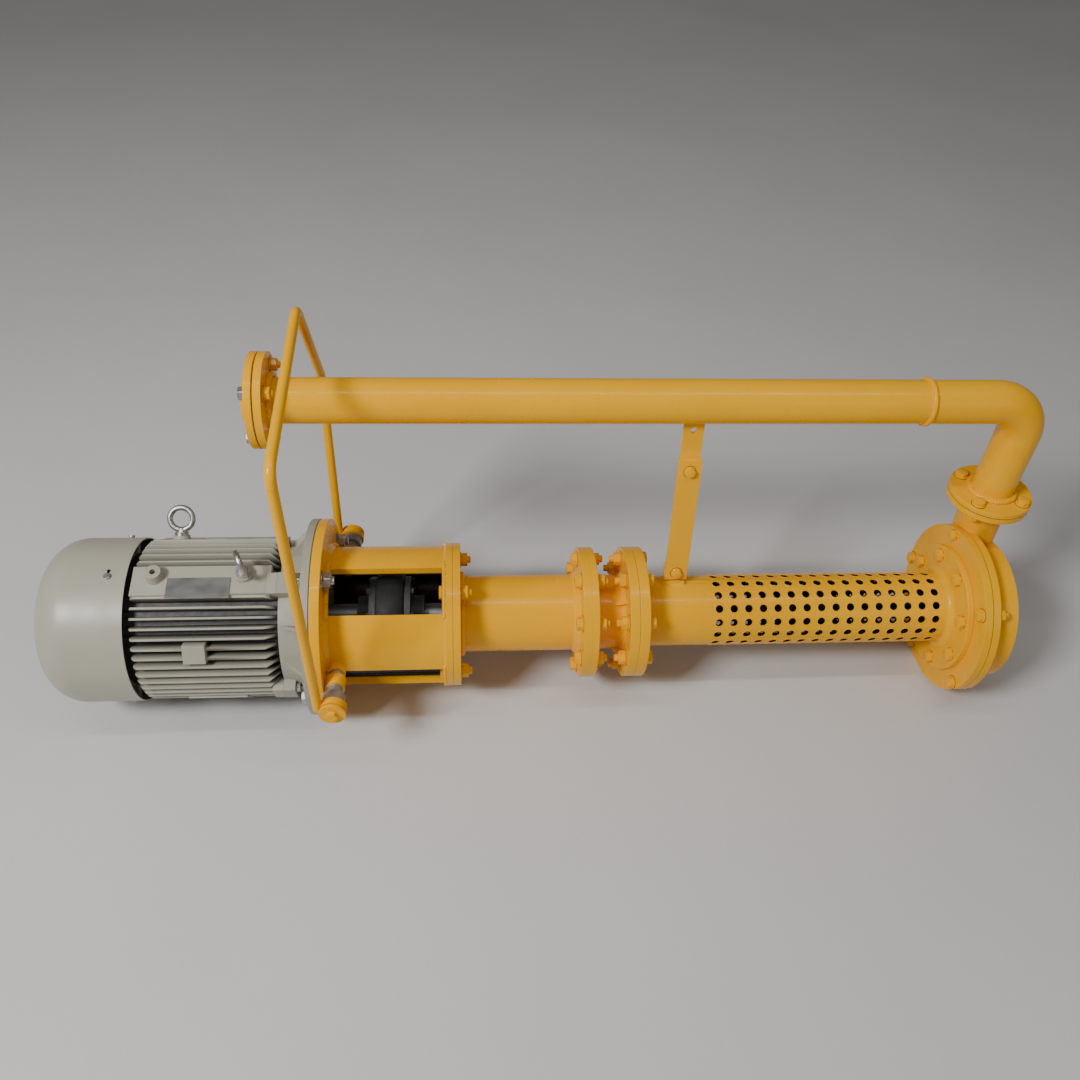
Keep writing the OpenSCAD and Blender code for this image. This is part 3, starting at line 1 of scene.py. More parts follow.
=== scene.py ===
# %% [markdown]
# A bentonite pump on the studio floor
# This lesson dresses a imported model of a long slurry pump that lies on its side.
# The real one is a grey electric motor bolted to a yellow pump: an open stool, a bearing housing,
# a perforated suction column, a volute, and a pipe that brings the slurry back past the motor.
# The shapes come from the model, so the work here is light, paint, welds and soft edges.

import json
import math

import bmesh
import bpy
from mathutils import Matrix, Vector


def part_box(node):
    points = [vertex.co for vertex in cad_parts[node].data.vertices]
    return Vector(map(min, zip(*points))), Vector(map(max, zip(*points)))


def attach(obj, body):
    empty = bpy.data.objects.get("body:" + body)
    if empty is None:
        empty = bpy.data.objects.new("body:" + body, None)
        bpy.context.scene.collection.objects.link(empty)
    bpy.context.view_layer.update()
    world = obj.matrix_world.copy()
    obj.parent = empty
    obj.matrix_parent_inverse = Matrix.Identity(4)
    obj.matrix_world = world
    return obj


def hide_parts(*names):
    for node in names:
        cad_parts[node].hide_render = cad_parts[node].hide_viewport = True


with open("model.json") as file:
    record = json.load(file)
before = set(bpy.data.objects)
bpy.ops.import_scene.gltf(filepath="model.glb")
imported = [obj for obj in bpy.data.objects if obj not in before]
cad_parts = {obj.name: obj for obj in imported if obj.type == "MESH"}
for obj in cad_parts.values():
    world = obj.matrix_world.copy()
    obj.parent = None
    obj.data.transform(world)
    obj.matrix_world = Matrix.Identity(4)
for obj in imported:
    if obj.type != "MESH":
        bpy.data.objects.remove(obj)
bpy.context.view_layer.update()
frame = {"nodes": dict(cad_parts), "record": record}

# %% [markdown]
# The camera comes first, because everything else is judged through it.
# It stands in front of the pump and looks down on it, a little left of the middle, with a wide lens.
# Its place was worked out from the round flanges, whose true circles show as known ellipses.

# %% Camera
camera_place = (-1.0178, -1.191, 1.290)
camera_right = Vector((0.9968, -0.0651, 0.0474))
camera_ahead = Vector((0.0799, 0.7296, -0.6792))
camera_data = bpy.data.cameras.new("studio_camera")
camera_data.lens = 31.9
camera_data.sensor_width = 36.0
camera_data.sensor_fit = "HORIZONTAL"
camera_data.clip_start = 0.05
camera_data.clip_end = 60.0
camera = bpy.data.objects.new("studio_camera", camera_data)
bpy.context.scene.collection.objects.link(camera)
right = camera_right.normalized()
back = -camera_ahead.normalized()
up = back.cross(right).normalized()
right = up.cross(back).normalized()
turn = Matrix((right, up, back)).transposed().to_4x4()
camera.matrix_world = Matrix.Translation(camera_place) @ turn
bpy.context.scene.camera = camera
print("camera at", tuple(round(v, 3) for v in camera.location), "lens", camera_data.lens)

# %% [markdown]
# The pump rests on the motor's flange at one end and on the casing at the other.
# The flange is the larger, so the line between the two touching points leans a little.
# The floor leans with it, which keeps the pump level in its own frame and standing on both points.

# %% Floor
flange_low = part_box("drive_end_shield")[0]
casing_low, casing_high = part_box("casing_plate")
motor_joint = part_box("stool_motor_flange")[0].x
foot_left = Vector((motor_joint, 0.0, flange_low.z))
foot_right = Vector(((casing_low.x + casing_high.x) / 2, 0.0, casing_low.z))
lean = math.atan2(foot_right.z - foot_left.z, foot_right.x - foot_left.x)
floor_size = 14.0
bm = bmesh.new()
bmesh.ops.create_grid(bm, x_segments=2, y_segments=2, size=floor_size)
floor_turn = Matrix.Rotation(-lean, 4, "Y")
bmesh.ops.transform(bm, matrix=Matrix.Translation(foot_left) @ floor_turn, verts=bm.verts)
floor_mesh = bpy.data.meshes.new("floor")
bm.to_mesh(floor_mesh)
bm.free()
floor = bpy.data.objects.new("floor", floor_mesh)
bpy.context.scene.collection.objects.link(floor)
print("floor leans", round(math.degrees(lean), 2), "degrees")

# %% [markdown]
# The key light stands high on the left, and is small for its distance, so shadows have clear edges.
# A large weak fill stands on the right, and a long strip above draws the bright line along each pipe.
# The world adds a low warm grey, so that the shaded sides keep their colour.

# %% Lights
def area_light(name, place, target, size, size_y, power):
    """Adds a rectangular lamp that faces a point."""
    data = bpy.data.lights.new(name, "AREA")
    data.shape = "RECTANGLE"
    data.size = size
    data.size_y = size_y
    data.energy = power
    lamp = bpy.data.objects.new(name, data)
    bpy.context.scene.collection.objects.link(lamp)
    aim = Vector(target) - Vector(place)
    lamp.rotation_euler = aim.to_track_quat("-Z", "Y").to_euler()
    lamp.location = place
    return lamp


pump_middle = (-0.85, 0.0, 0.1)
column_middle = (-0.5, 0.0, 0.1)
area_light("key", (-3.3, -1.9, 2.9), column_middle, 1.0, 0.8, 135)
area_light("fill", (1.3, -2.3, 1.4), pump_middle, 1.6, 1.6, 5)
area_light("top_strip", (-0.85, -0.55, 2.7), pump_middle, 3.4, 0.12, 18)
world = bpy.data.worlds.new("studio_world")
bpy.context.scene.world = world
world.use_nodes = True
world.node_tree.nodes["Background"].inputs["Color"].default_value = (0.90, 0.88, 0.84, 1.0)
world.node_tree.nodes["Background"].inputs["Strength"].default_value = 0.16

# %% [markdown]
# Several finishes share the same two effects, so each effect is one node group with named inputs.
# The first is uneven colour: large soft patches and fine specks that move a colour towards another.
# The second is a bumpy skin: the orange peel of sprayed paint, or the grain of a sand casting.

# %% Shared node groups
def new_group(name, inputs, outputs):
    """Makes an empty shader group with the given sockets and returns it with its two end nodes."""
    group = bpy.data.node_groups.new(name, "ShaderNodeTree")
    for socket_name, kind, value in inputs:
        socket = group.interface.new_socket(name=socket_name, in_out="INPUT", socket_type=kind)
        socket.default_value = value
    for socket_name, kind in outputs:
        group.interface.new_socket(name=socket_name, in_out="OUTPUT", socket_type=kind)
    return group, group.nodes.new("NodeGroupInput"), group.nodes.new("NodeGroupOutput")


def noise(tree, vector, scale, detail, roughness=0.5):
    """Adds a noise texture that reads the given vector and scale sockets."""
    node = tree.nodes.new("ShaderNodeTexNoise")
    node.inputs["Detail"].default_value = detail
    node.inputs["Roughness"].default_value = roughness
    tree.links.new(vector, node.inputs["Vector"])
    tree.links.new(scale, node.inputs["Scale"])
    return node.outputs["Fac"]


def stretch(tree, value, low, high):
    """Maps low..high of a value to 0..1 and clamps it."""
    node = tree.nodes.new("ShaderNodeMapRange")
    node.inputs["From Min"].default_value = low
    node.inputs["From Max"].default_value = high
    tree.links.new(value, node.inputs["Value"])
    return node.outputs["Result"]


def maths(tree, operation, a, b):
    """Adds a maths node whose inputs are sockets or numbers."""
    node = tree.nodes.new("ShaderNodeMath")
    node.operation = operation
    for socket, value in zip(node.inputs, (a, b)):
        if isinstance(value, (int, float)):
            socket.default_value = value
        else:
            tree.links.new(value, socket)
    return node.outputs["Value"]


def mix_colour(tree, factor, a, b):
    """Mixes two colours, each a socket or a plain colour."""
    node = tree.nodes.new("ShaderNodeMix")
    node.data_type = "RGBA"
    tree.links.new(factor, node.inputs["Factor"])
    for socket, value in ((node.inputs["A"], a), (node.inputs["B"], b)):
        if isinstance(value, tuple):
            socket.default_value = value
        else:
            tree.links.new(value, socket)
    return node.outputs["Result"]


uneven, uneven_in, uneven_out = new_group(
    "uneven_colour",
    [
        ("Vector", "NodeSocketVector", (0, 0, 0)),
        ("Colour", "NodeSocketColor", (0.8, 0.8, 0.8, 1)),
        ("Patch Colour", "NodeSocketColor", (0.7, 0.7, 0.7, 1)),
        ("Speck Colour", "NodeSocketColor", (0.2, 0.2, 0.2, 1)),
        ("Patch Scale", "NodeSocketFloat", 6.0),
        ("Speck Scale", "NodeSocketFloat", 140.0),
        ("Speck Amount", "NodeSocketFloat", 0.3),
    ],
    [("Colour", "NodeSocketColor")],
)
patches = noise(uneven, uneven_in.outputs["Vector"], uneven_in.outputs["Patch Scale"], 5.0)
patches = stretch(uneven, patches, 0.35, 0.7)
specks = noise(uneven, uneven_in.outputs["Vector"], uneven_in.outputs["Speck Scale"], 3.0, 0.6)
specks = maths(uneven, "MULTIPLY", stretch(uneven, specks, 0.62, 0.74), uneven_in.outputs["Speck Amount"])
patched = mix_colour(uneven, patches, uneven_in.outputs["Colour"], uneven_in.outputs["Patch Colour"])
specked = mix_colour(uneven, specks, patched, uneven_in.outputs["Speck Colour"])
uneven.links.new(specked, uneven_out.inputs["Colour"])

skin, skin_in, skin_out = new_group(
    "bumpy_skin",
    [
        ("Vector", "NodeSocketVector", (0, 0, 0)),
        ("Fine Scale", "NodeSocketFloat", 420.0),
        ("Wave Scale", "NodeSocketFloat", 38.0),
        ("Fine Height", "NodeSocketFloat", 0.5),
        ("Distance", "NodeSocketFloat", 0.0004),
        ("Rough Low", "NodeSocketFloat", 0.25),
        ("Rough High", "NodeSocketFloat", 0.4),
    ],
    [("Normal", "NodeSocketVector"), ("Roughness", "NodeSocketFloat")],
)
fine = noise(skin, skin_in.outputs["Vector"], skin_in.outputs["Fine Scale"], 2.0)
wave = noise(skin, skin_in.outputs["Vector"], skin_in.outputs["Wave Scale"], 2.0)
height = maths(skin, "ADD", maths(skin, "MULTIPLY", fine, skin_in.outputs["Fine Height"]), wave)
bump = skin.nodes.new("ShaderNodeBump")
bump.inputs["Strength"].default_value = 1.0
skin.links.new(height, bump.inputs["Height"])
skin.links.new(skin_in.outputs["Distance"], bump.inputs["Distance"])
skin.links.new(bump.outputs["Normal"], skin_out.inputs["Normal"])
spread = maths(skin, "SUBTRACT", skin_in.outputs["Rough High"], skin_in.outputs["Rough Low"])
gloss = maths(skin, "MULTIPLY", stretch(skin, wave, 0.3, 0.7), spread)
skin.links.new(maths(skin, "ADD", gloss, skin_in.outputs["Rough Low"]), skin_out.inputs["Roughness"])

# %% [markdown]
# Shade is painted into the colour where light doesn't reach: in bores, and at the roots of the fins.
# The third group finds such places from the distance to the pump's own axis,
# and from how far along that axis a point is.

# %% Shade group
fade_length = 0.01
shade, shade_in, shade_out = new_group(
    "shaded_places",
    [
        ("Vector", "NodeSocketVector", (0, 0, 0)),
        ("Radius", "NodeSocketFloat", 0.05),
        ("Soft", "NodeSocketFloat", 0.001),
        ("Start", "NodeSocketFloat", 10.0),
    ],
    [("Shade", "NodeSocketFloat")],
)
parts = shade.nodes.new("ShaderNodeSeparateXYZ")
shade.links.new(shade_in.outputs["Vector"], parts.inputs["Vector"])
across = maths(shade, "MULTIPLY", parts.outputs["Y"], parts.outputs["Y"])
upward = maths(shade, "MULTIPLY", parts.outputs["Z"], parts.outputs["Z"])
distance_out = maths(shade, "SQRT", maths(shade, "ADD", across, upward), 0.0)
depth = maths(shade, "SUBTRACT", shade_in.outputs["Radius"], distance_out)
inside = maths(shade, "DIVIDE", depth, shade_in.outputs["Soft"])
along = maths(shade, "SUBTRACT", parts.outputs["X"], shade_in.outputs["Start"])
beyond = maths(shade, "DIVIDE", along, fade_length)
both = stretch(shade, maths(shade, "MAXIMUM", inside, beyond), 0.0, 1.0)
shade.links.new(both, shade_out.inputs["Shade"])
print("groups", [g.name for g in bpy.data.node_groups])

# %% [markdown]
# A finish is then a few values: its colours, how patchy and specked it is, how rough, and how bumpy.
# One helper places both groups and the Principled shader, and each finish sets its own numbers.
# The shader itself stays in the material, and what is the same all over is set on its own socket.

# %% Finish helper
def finish(name, colour, patch, speck, patch_scale=6.0, speck_scale=140.0, speck_amount=0.3,
           fine_scale=420.0, wave_scale=38.0, fine_height=0.5, distance=0.0004,
           rough=(0.25, 0.4), metallic=0.0, coat=0.0, coat_rough=0.1, specular=0.5, shaded=None):
    """Builds one procedural material from the shared groups."""
    material = bpy.data.materials.new(name)
    material.use_nodes = True
    tree = material.node_tree
    shader = tree.nodes["Principled BSDF"]
    place = tree.nodes.new("ShaderNodeTexCoord").outputs["Object"]
    tint = tree.nodes.new("ShaderNodeGroup")
    tint.node_tree = uneven
    tint.inputs["Colour"].default_value = (*colour, 1)
    tint.inputs["Patch Colour"].default_value = (*patch, 1)
    tint.inputs["Speck Colour"].default_value = (*speck, 1)
    tint.inputs["Patch Scale"].default_value = patch_scale
    tint.inputs["Speck Scale"].default_value = speck_scale
    tint.inputs["Speck Amount"].default_value = speck_amount
    rind = tree.nodes.new("ShaderNodeGroup")
    rind.node_tree = skin
    rind.inputs["Fine Scale"].default_value = fine_scale
    rind.inputs["Wave Scale"].default_value = wave_scale
    rind.inputs["Fine Height"].default_value = fine_height
    rind.inputs["Distance"].default_value = distance
    rind.inputs["Rough Low"].default_value = rough[0]
    rind.inputs["Rough High"].default_value = rough[1]
    tree.links.new(place, tint.inputs["Vector"])
    tree.links.new(place, rind.inputs["Vector"])
    base = tint.outputs["Colour"]
    # Painted shade: inside a shaded place the colour is mixed towards a dark one.
    if shaded:
        dark, radius, soft, start = shaded
        mask = tree.nodes.new("ShaderNodeGroup")
        mask.node_tree = shade
        mask.inputs["Radius"].default_value = radius
        mask.inputs["Soft"].default_value = soft
        mask.inputs["Start"].default_value = start
        tree.links.new(place, mask.inputs["Vector"])
        base = mix_colour(tree, mask.outputs["Shade"], base, (*dark, 1))
    tree.links.new(base, shader.inputs["Base Color"])
    tree.links.new(rind.outputs["Roughness"], shader.inputs["Roughness"])
    tree.links.new(rind.outputs["Normal"], shader.inputs["Normal"])
    shader.inputs["Metallic"].default_value = metallic
    shader.inputs["Coat Weight"].default_value = coat
    shader.inputs["Coat Roughness"].default_value = coat_rough
    shader.inputs["Specular IOR Level"].default_value = specular
    return material


# %% [markdown]
# The pump is sprayed in a warm yellow enamel, bolts and all, over plates that were cut and welded.
# It is glossy, a little wavy, and slightly deeper in colour where the coat is thick.
# The motor came painted in a satin grey, over castings with a fine sandy grain.
# A place of painted shade is a dark colour, the radius that it lies within, how softly it fades out
# there, and where along the pump everything is in painted shade. A start that is far away shades nothing.

# %% Paints
far = 10.0
# Painted shade inside the strainer tube, which shows dark through the holes.
strainer_painted_shade = ((0.012, 0.008, 0.004), 0.0646, 0.0006, far)
# Painted shade inside the stool, round the coupling.
stool_painted_shade = ((0.030, 0.018, 0.006), 0.1125, 0.0030, far)
# Painted shade at the roots of the motor's fins.
fin_root_painted_shade = ((0.045, 0.043, 0.038), 0.1385, 0.016, far)
# Painted shade on the pump shaft beyond a point along the pump, inside the strainer.
shaft_painted_shade = ((0.015, 0.012, 0.010), 0.001, 0.001, -0.83)


def yellow(name, shaded=None):
    """The yellow enamel, with a shaded place if one is given."""
    return finish(name, (0.95, 0.47, 0.0), (0.90, 0.415, 0.0), (0.55, 0.25, 0.0),
                  patch_scale=5.0, speck_scale=210.0, speck_amount=0.25,
                  fine_scale=520.0, wave_scale=34.0, fine_height=0.25, distance=0.00035,
                  rough=(0.20, 0.32), coat=0.12, coat_rough=0.06, specular=0.2, shaded=shaded)


yellow_enamel = yellow("yellow_enamel")
yellow_strainer_painted_shade = yellow("yellow_strainer_painted_shade", strainer_painted_shade)
yellow_stool_painted_shade = yellow("yellow_stool_painted_shade", stool_painted_shade)
# A deep amber for the painted shade round the feet of heads and washers.
amber_seat_shade = finish("amber_seat_shade", (0.22, 0.085, 0.0), (0.16, 0.06, 0.0), (0.08, 0.03, 0.0),
                    rough=(0.4, 0.55), specular=0.2)
grey_cast = finish("grey_cast_paint", (0.40, 0.38, 0.30), (0.355, 0.335, 0.265), (0.15, 0.14, 0.12),
                   patch_scale=9.0, speck_scale=260.0, speck_amount=0.35,
                   fine_scale=760.0, wave_scale=90.0, fine_height=1.4, distance=0.00035,
                   rough=(0.34, 0.48), specular=0.4)
# The fins' grey darkens towards their roots: painted shade.
grey_fins_root_shade = finish("grey_fin_paint_root_shade", (0.43, 0.41, 0.325), (0.385, 0.365, 0.29), (0.15, 0.14, 0.12),
                   patch_scale=9.0, speck_scale=260.0, speck_amount=0.35,
                   fine_scale=760.0, wave_scale=90.0, fine_height=1.4, distance=0.00035,
                   rough=(0.32, 0.46), specular=0.4, shaded=fin_root_painted_shade)
grey_sheet = finish("grey_sheet_paint", (0.43, 0.41, 0.325), (0.40, 0.38, 0.30), (0.25, 0.24, 0.20),
                    patch_scale=4.0, speck_scale=240.0, speck_amount=0.15,
                    fine_scale=600.0, wave_scale=22.0, fine_height=0.3, distance=0.0003,
                    rough=(0.30, 0.42), specular=0.45)
print("paints made")

# %% [markdown]
# The loose hardware is zinc plated, so it is bright with a faint cloudiness and a few dull specks.
# The shafts are turned steel, the coupling is dark iron, and the tyre and gaskets are black rubber.
# Inside the motor are stacked steel sheets and varnished copper, which only show when it is opened.

# %% Metals and rubber
zinc = finish("zinc_plate", (0.60, 0.60, 0.57), (0.46, 0.47, 0.46), (0.25, 0.24, 0.22),
              patch_scale=60.0, speck_scale=420.0, speck_amount=0.4,
              fine_scale=900.0, wave_scale=160.0, fine_height=0.6, distance=0.0002,
              rough=(0.28, 0.48), metallic=1.0)
dull_zinc = finish("dull_zinc", (0.50, 0.50, 0.48), (0.38, 0.38, 0.37), (0.20, 0.19, 0.17),
                   patch_scale=50.0, speck_scale=380.0, speck_amount=0.5,
                   fine_scale=800.0, wave_scale=140.0, fine_height=1.0, distance=0.0003,
                   rough=(0.45, 0.62), metallic=0.8)
turned_steel = finish("turned_steel", (0.55, 0.55, 0.55), (0.48, 0.48, 0.48), (0.22, 0.20, 0.18),
                      patch_scale=24.0, speck_scale=300.0, speck_amount=0.3,
                      fine_scale=1200.0, wave_scale=120.0, fine_height=0.8, distance=0.0001,
                      rough=(0.24, 0.40), metallic=1.0)
# The shaft steel is darkened beyond a point along the pump: painted shade on the pump shaft inside the
# strainer.
shaft_steel = finish("shaft_steel", (0.26, 0.26, 0.26), (0.20, 0.20, 0.20), (0.10, 0.09, 0.08),
                     patch_scale=24.0, speck_scale=300.0, speck_amount=0.4,
                     fine_scale=1200.0, wave_scale=120.0, fine_height=0.8, distance=0.0001,
                     rough=(0.42, 0.58), metallic=1.0, shaded=shaft_painted_shade)
dark_iron = finish("dark_iron", (0.035, 0.036, 0.038), (0.05, 0.05, 0.052), (0.10, 0.095, 0.09),
                   patch_scale=30.0, speck_scale=240.0, speck_amount=0.4,
                   fine_scale=650.0, wave_scale=110.0, fine_height=1.2, distance=0.0004,
                   rough=(0.42, 0.62))
rubber = finish("black_rubber", (0.014, 0.014, 0.014), (0.022, 0.022, 0.021), (0.06, 0.058, 0.055),
                patch_scale=20.0, speck_scale=320.0, speck_amount=0.3,
                fine_scale=700.0, wave_scale=60.0, fine_height=0.8, distance=0.0003,
                rough=(0.55, 0.72), specular=0.35)
lamination = finish("lamination", (0.16, 0.16, 0.165), (0.20, 0.20, 0.205), (0.08, 0.07, 0.06),
                    patch_scale=40.0, speck_scale=500.0, rough=(0.4, 0.55), metallic=1.0)
copper = finish("varnished_copper", (0.42, 0.15, 0.05), (0.33, 0.11, 0.04), (0.15, 0.06, 0.03),
                patch_scale=50.0, speck_scale=300.0, rough=(0.25, 0.4), metallic=1.0, coat=0.3)
bronze = finish("bronze", (0.45, 0.27, 0.09), (0.38, 0.22, 0.08), (0.2, 0.12, 0.06),
                patch_scale=30.0, rough=(0.3, 0.45), metallic=1.0)
blank_plate = finish("blank_plate", (0.40, 0.40, 0.38), (0.35, 0.35, 0.33), (0.22, 0.22, 0.21),
                     patch_scale=30.0, speck_amount=0.2, distance=0.0001, rough=(0.3, 0.42), metallic=1.0)
black_plastic = finish("black_plastic", (0.02, 0.02, 0.021), (0.027, 0.027, 0.028), (0.06, 0.06, 0.06),
                       patch_scale=18.0, fine_scale=900.0, rough=(0.42, 0.55))
print("finishes", len(bpy.data.materials))

# %% [markdown]
# The floor is plain and pale, with only a trace of unevenness so that it doesn't look like a void.

# %% Floor finish
floor_finish = finish("pale_floor", (0.68, 0.67, 0.66), (0.64, 0.632, 0.625), (0.55, 0.54, 0.53),
                      patch_scale=1.2, speck_scale=160.0, speck_amount=0.2,
                      fine_scale=300.0, wave_scale=30.0, rough=(0.6, 0.75), specular=0.3)
floor_mesh.materials.append(floor_finish)
print("floor finish", floor_finish.name)

# %% [markdown]
# Each node of the model names a material slot in the record, and each slot gets its finish here.
# A few nodes have a finish of their own, such as the cowl, whose pressed sheet takes the smoothest grey.

# %% Put the finishes on
slot_finish = {
    "yellow_paint": yellow_enamel,
    "motor_paint": grey_cast,
    "zinc_steel": zinc,
    "bright_steel": turned_steel,
    "dark_iron": dark_iron,
    "black_rubber": rubber,
    "lamination": lamination,
    "copper_winding": copper,
    "bronze": bronze,
    "plate_metal": blank_plate,
    "black_plastic": black_plastic,
}
node_slot = {part["node"]: part["material_slot"] for part in frame["record"]["subparts"]}

own_finish = {
    "fan_cowl": grey_sheet,
    # The frame takes grey with painted shade at the roots of its fins.
    "motor_frame": grey_fins_root_shade,
    # The pump shaft's steel has painted shade inside the strainer.
    "pump_shaft": shaft_steel,
    "motor_shaft": shaft_steel,
    "coupling_screws": dark_iron,
    "pivot_spacers": dull_zinc,
    # The strainer and the stool take yellow with painted shade inside them.
    "strainer_column": yellow_strainer_painted_shade,
    "stool_arms": yellow_stool_painted_shade,
    "stool_end_flange": yellow_stool_painted_shade,
    "stool_motor_flange": yellow_stool_painted_shade,
}


def node_finish(name):
    """The finish of a node: its own one if it has one, or else its slot's."""
    return own_finish.get(name) or slot_finish[node_slot[name]]


for name, node in frame["nodes"].items():
    node.data.materials.clear()
    node.data.materials.append(node_finish(name))
print("dressed", len(frame["nodes"]), "nodes")

# %% [markdown]
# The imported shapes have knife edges, and real steel plates and castings don't.
# So the nodes listed below are copied, their triangles are welded and merged back into whole faces,
# and their sharp edges are rounded. Each rounded copy then stands in for its node.

# %% Rounded copies
weld_distance = 2e-6
flat_angle = 0.6
body_of_node = {}
for body_name, members in frame["record"]["behaviour"]["bodies"].items():
    for member in members:
        body_of_node[member] = body_name


def add_piece(name, bm, material, body, angle=38.0):
    """Turns a bmesh into a smooth shaded piece that moves with a body."""
    mesh = bpy.data.meshes.new(name)
    bm.to_mesh(mesh)
    bm.free()
    mesh.polygons.foreach_set("use_smooth", [True] * len(mesh.polygons))
    mesh.set_sharp_from_angle(angle=math.radians(angle))
    mesh.materials.append(material)
    piece = bpy.data.objects.new(name, mesh)
    bpy.context.scene.collection.objects.link(piece)
    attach(piece, body)
    return piece


def welded(name):
    """A node's mesh with its double vertices joined."""
    bm = bmesh.new()
    bm.from_mesh(frame["nodes"][name].data)
    bmesh.ops.remove_doubles(bm, verts=bm.verts, dist=weld_distance)
    return bm


def welded_copy(name):
    """A node's welded mesh with its flat areas merged into single faces."""
    bm = welded(name)
    bmesh.ops.dissolve_limit(bm, angle_limit=math.radians(flat_angle), verts=bm.verts, edges=bm.edges)
    bmesh.ops.recalc_face_normals(bm, faces=bm.faces)
    bm.normal_update()
    return bm


def sharp_edges(bm, angle=28.0):
    """Edges whose two faces meet at more than the given angle."""
    limit = math.radians(angle)
    return [e for e in bm.edges if e.is_manifold and e.calc_face_angle() > limit]


def round_edges(bm, edges, width, clamp=True):
    """Rounds the given edges, which become two narrow faces wide."""
    bmesh.ops.bevel(bm, geom=edges, offset=width, offset_type="OFFSET", segments=2,
                    profile=0.5, affect="EDGES", clamp_overlap=clamp, material=-1)


def level_faces(piece):
    """Keeps big flat faces flat in the shading, next to the narrow rounded ones."""
    modifier = piece.modifiers.new("level faces", "WEIGHTED_NORMAL")
    modifier.keep_sharp = True
    modifier.weight = 80


def soften(name, width):
    """Puts a rounded copy in the place of one node."""
    bm = welded_copy(name)
    round_edges(bm, sharp_edges(bm), width)
    piece = add_piece("soft_" + name, bm, node_finish(name), body_of_node[name])
    level_faces(piece)
    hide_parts(name)
    return len(piece.data.polygons)


edge_widths = {
    "bearing_housing": 0.0016, "neck_spool": 0.0016, "stool_motor_flange": 0.0018,
    "stool_end_flange": 0.0014, "stool_arms": 0.0018, "casing_plate": 0.0016,
    "volute_casing": 0.0016, "suction_cover": 0.0014,
    "discharge_elbow": 0.0014, "discharge_pipe": 0.0014, "outlet_flange": 0.0014, "pipe_tab": 0.0009,
    "support_strap": 0.0010, "lifting_bail": 0.0010, "pivot_pins": 0.0005, "pivot_spacers": 0.0008,
    "drive_end_shield": 0.0014, "fan_end_shield": 0.0010, "fan_cowl": 0.0006, "terminal_box": 0.0014,
    "terminal_box_lid": 0.0014, "cable_gland": 0.0006, "rating_plate": 0.0003, "eye_bolts": 0.0008,
    "coupling_motor_half": 0.0010, "coupling_pump_half": 0.0010, "coupling_tyre": 0.0010,
    "coupling_screws": 0.0005, "cover_screws": 0.0005, "lid_screws": 0.0004, "cowl_screws": 0.0005,
    "bearing_covers": 0.0008, "pump_shaft": 0.0006, "motor_shaft": 0.0006, "shield_screws": 0.0005,
    "casing_gasket": 0.0002, "elbow_gasket": 0.0002, "outlet_gasket": 0.0004, "cooling_fan": 0.0006,
}
for name, width in edge_widths.items():
    print("rounded", name, soften(name, width), "faces")

# %% [markdown]
# The finned frame has slivers between its fins that stop an even rounding.
# Only its long edges are rounded: the tips of the fins and the edges of the cast pads.

# %% The finned frame
frame_edge = 0.0011
long_edge = 0.012
bm = welded_copy("motor_frame")
tips = [e for e in sharp_edges(bm, 40.0) if e.calc_length() > long_edge]
round_edges(bm, tips, frame_edge, clamp=False)
piece = add_piece("soft_motor_frame", bm, node_finish("motor_frame"), "pump_unit")
level_faces(piece)
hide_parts("motor_frame")
print("frame", len(tips), "long edges rounded,", len(piece.data.polygons), "faces")

# %% [markdown]
# The strainer column has 256 drilled holes, in 16 rings of 16, and each one is lightly countersunk.
# So the points on a hole's outer rim are moved outwards over the tube, and the bore widens to meet them.
# The paint builds up in a soft lip round each hole, which catches the light.
# A lip is a thin ring that follows the curve of the tube, so its height changes round the hole.

# %% Rings of points and places of holes
def join_rings(bm, rings, closed=True):
    """Joins each ring of points to the next, and the last to the first when closed."""
    for i in range(len(rings) if closed else len(rings) - 1):
        one, two = rings[i], rings[(i + 1) % len(rings)]
        for k in range(len(one)):
            n = (k + 1) % len(one)
            bm.faces.new((one[k], two[k], two[n], one[n]))


tube_r = 0.0648
rim_r = 0.0071
ring_pitch = 0.0269
ring_to_end = 0.0425
first_angle = 19.5
angle_step = 22.5
last_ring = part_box("strainer_column")[1].x - ring_to_end
hole_x = [last_ring - i * ring_pitch for i in range(16)]
hole_angle = [math.radians(first_angle + j * angle_step) for j in range(16)]
print("holes", len(hole_x) * len(hole_angle))

# %% [markdown]
# A rim point is known by its distance from the nearest hole's centre: more than the untouched middle,
# and less than the new rim. Only points that lie on the tube's outer face are moved.

# %% The strainer column and its holes
near_enough = 0.0003
hole_middle = 0.004
flange_inside = 0.117
flange_edge = 0.0016
lip_thickness = 0.0010
lip_gap = 0.0007
lip_sink = 0.0003


def widen_rim(point):
    """Moves a point of the tube's outer face out to the rim of the nearest hole, if it lies within it."""
    angle = math.atan2(-point.y, point.z)
    x = min(hole_x, key=lambda place: abs(place - point.x))
    middle_angle = min(hole_angle, key=lambda place: abs(math.remainder(angle - place, 2 * math.pi)))
    dx = point.x - x
    arc = math.remainder(angle - middle_angle, 2 * math.pi) * tube_r
    reach = math.hypot(dx, arc)
    if reach < hole_middle or reach > rim_r - near_enough:
        return point
    angle = middle_angle + arc * rim_r / reach / tube_r
    return Vector((x + dx * rim_r / reach, -tube_r * math.sin(angle), tube_r * math.cos(angle)))


def lip_ring(bm, x, angle, radius, thickness, steps=28, sides=6):
    """A closed ring round a hole, in a tube along X, at an angle from +Z towards -Y."""
    turn = Matrix.Rotation(angle, 4, "X")
    rings = []
    for i in range(steps):
        a = 2 * math.pi * i / steps
        ring = []
        for k in range(sides):
            b = 2 * math.pi * k / sides
            reach = radius + thickness * math.cos(b)
            along, over = reach * math.cos(a), reach * math.sin(a)
            surface = math.sqrt(tube_r * tube_r - over * over) - lip_sink
            point = Vector((x + along, over, surface + thickness * math.sin(b)))
            ring.append(bm.verts.new(turn @ point))
        rings.append(ring)
    join_rings(bm, rings)


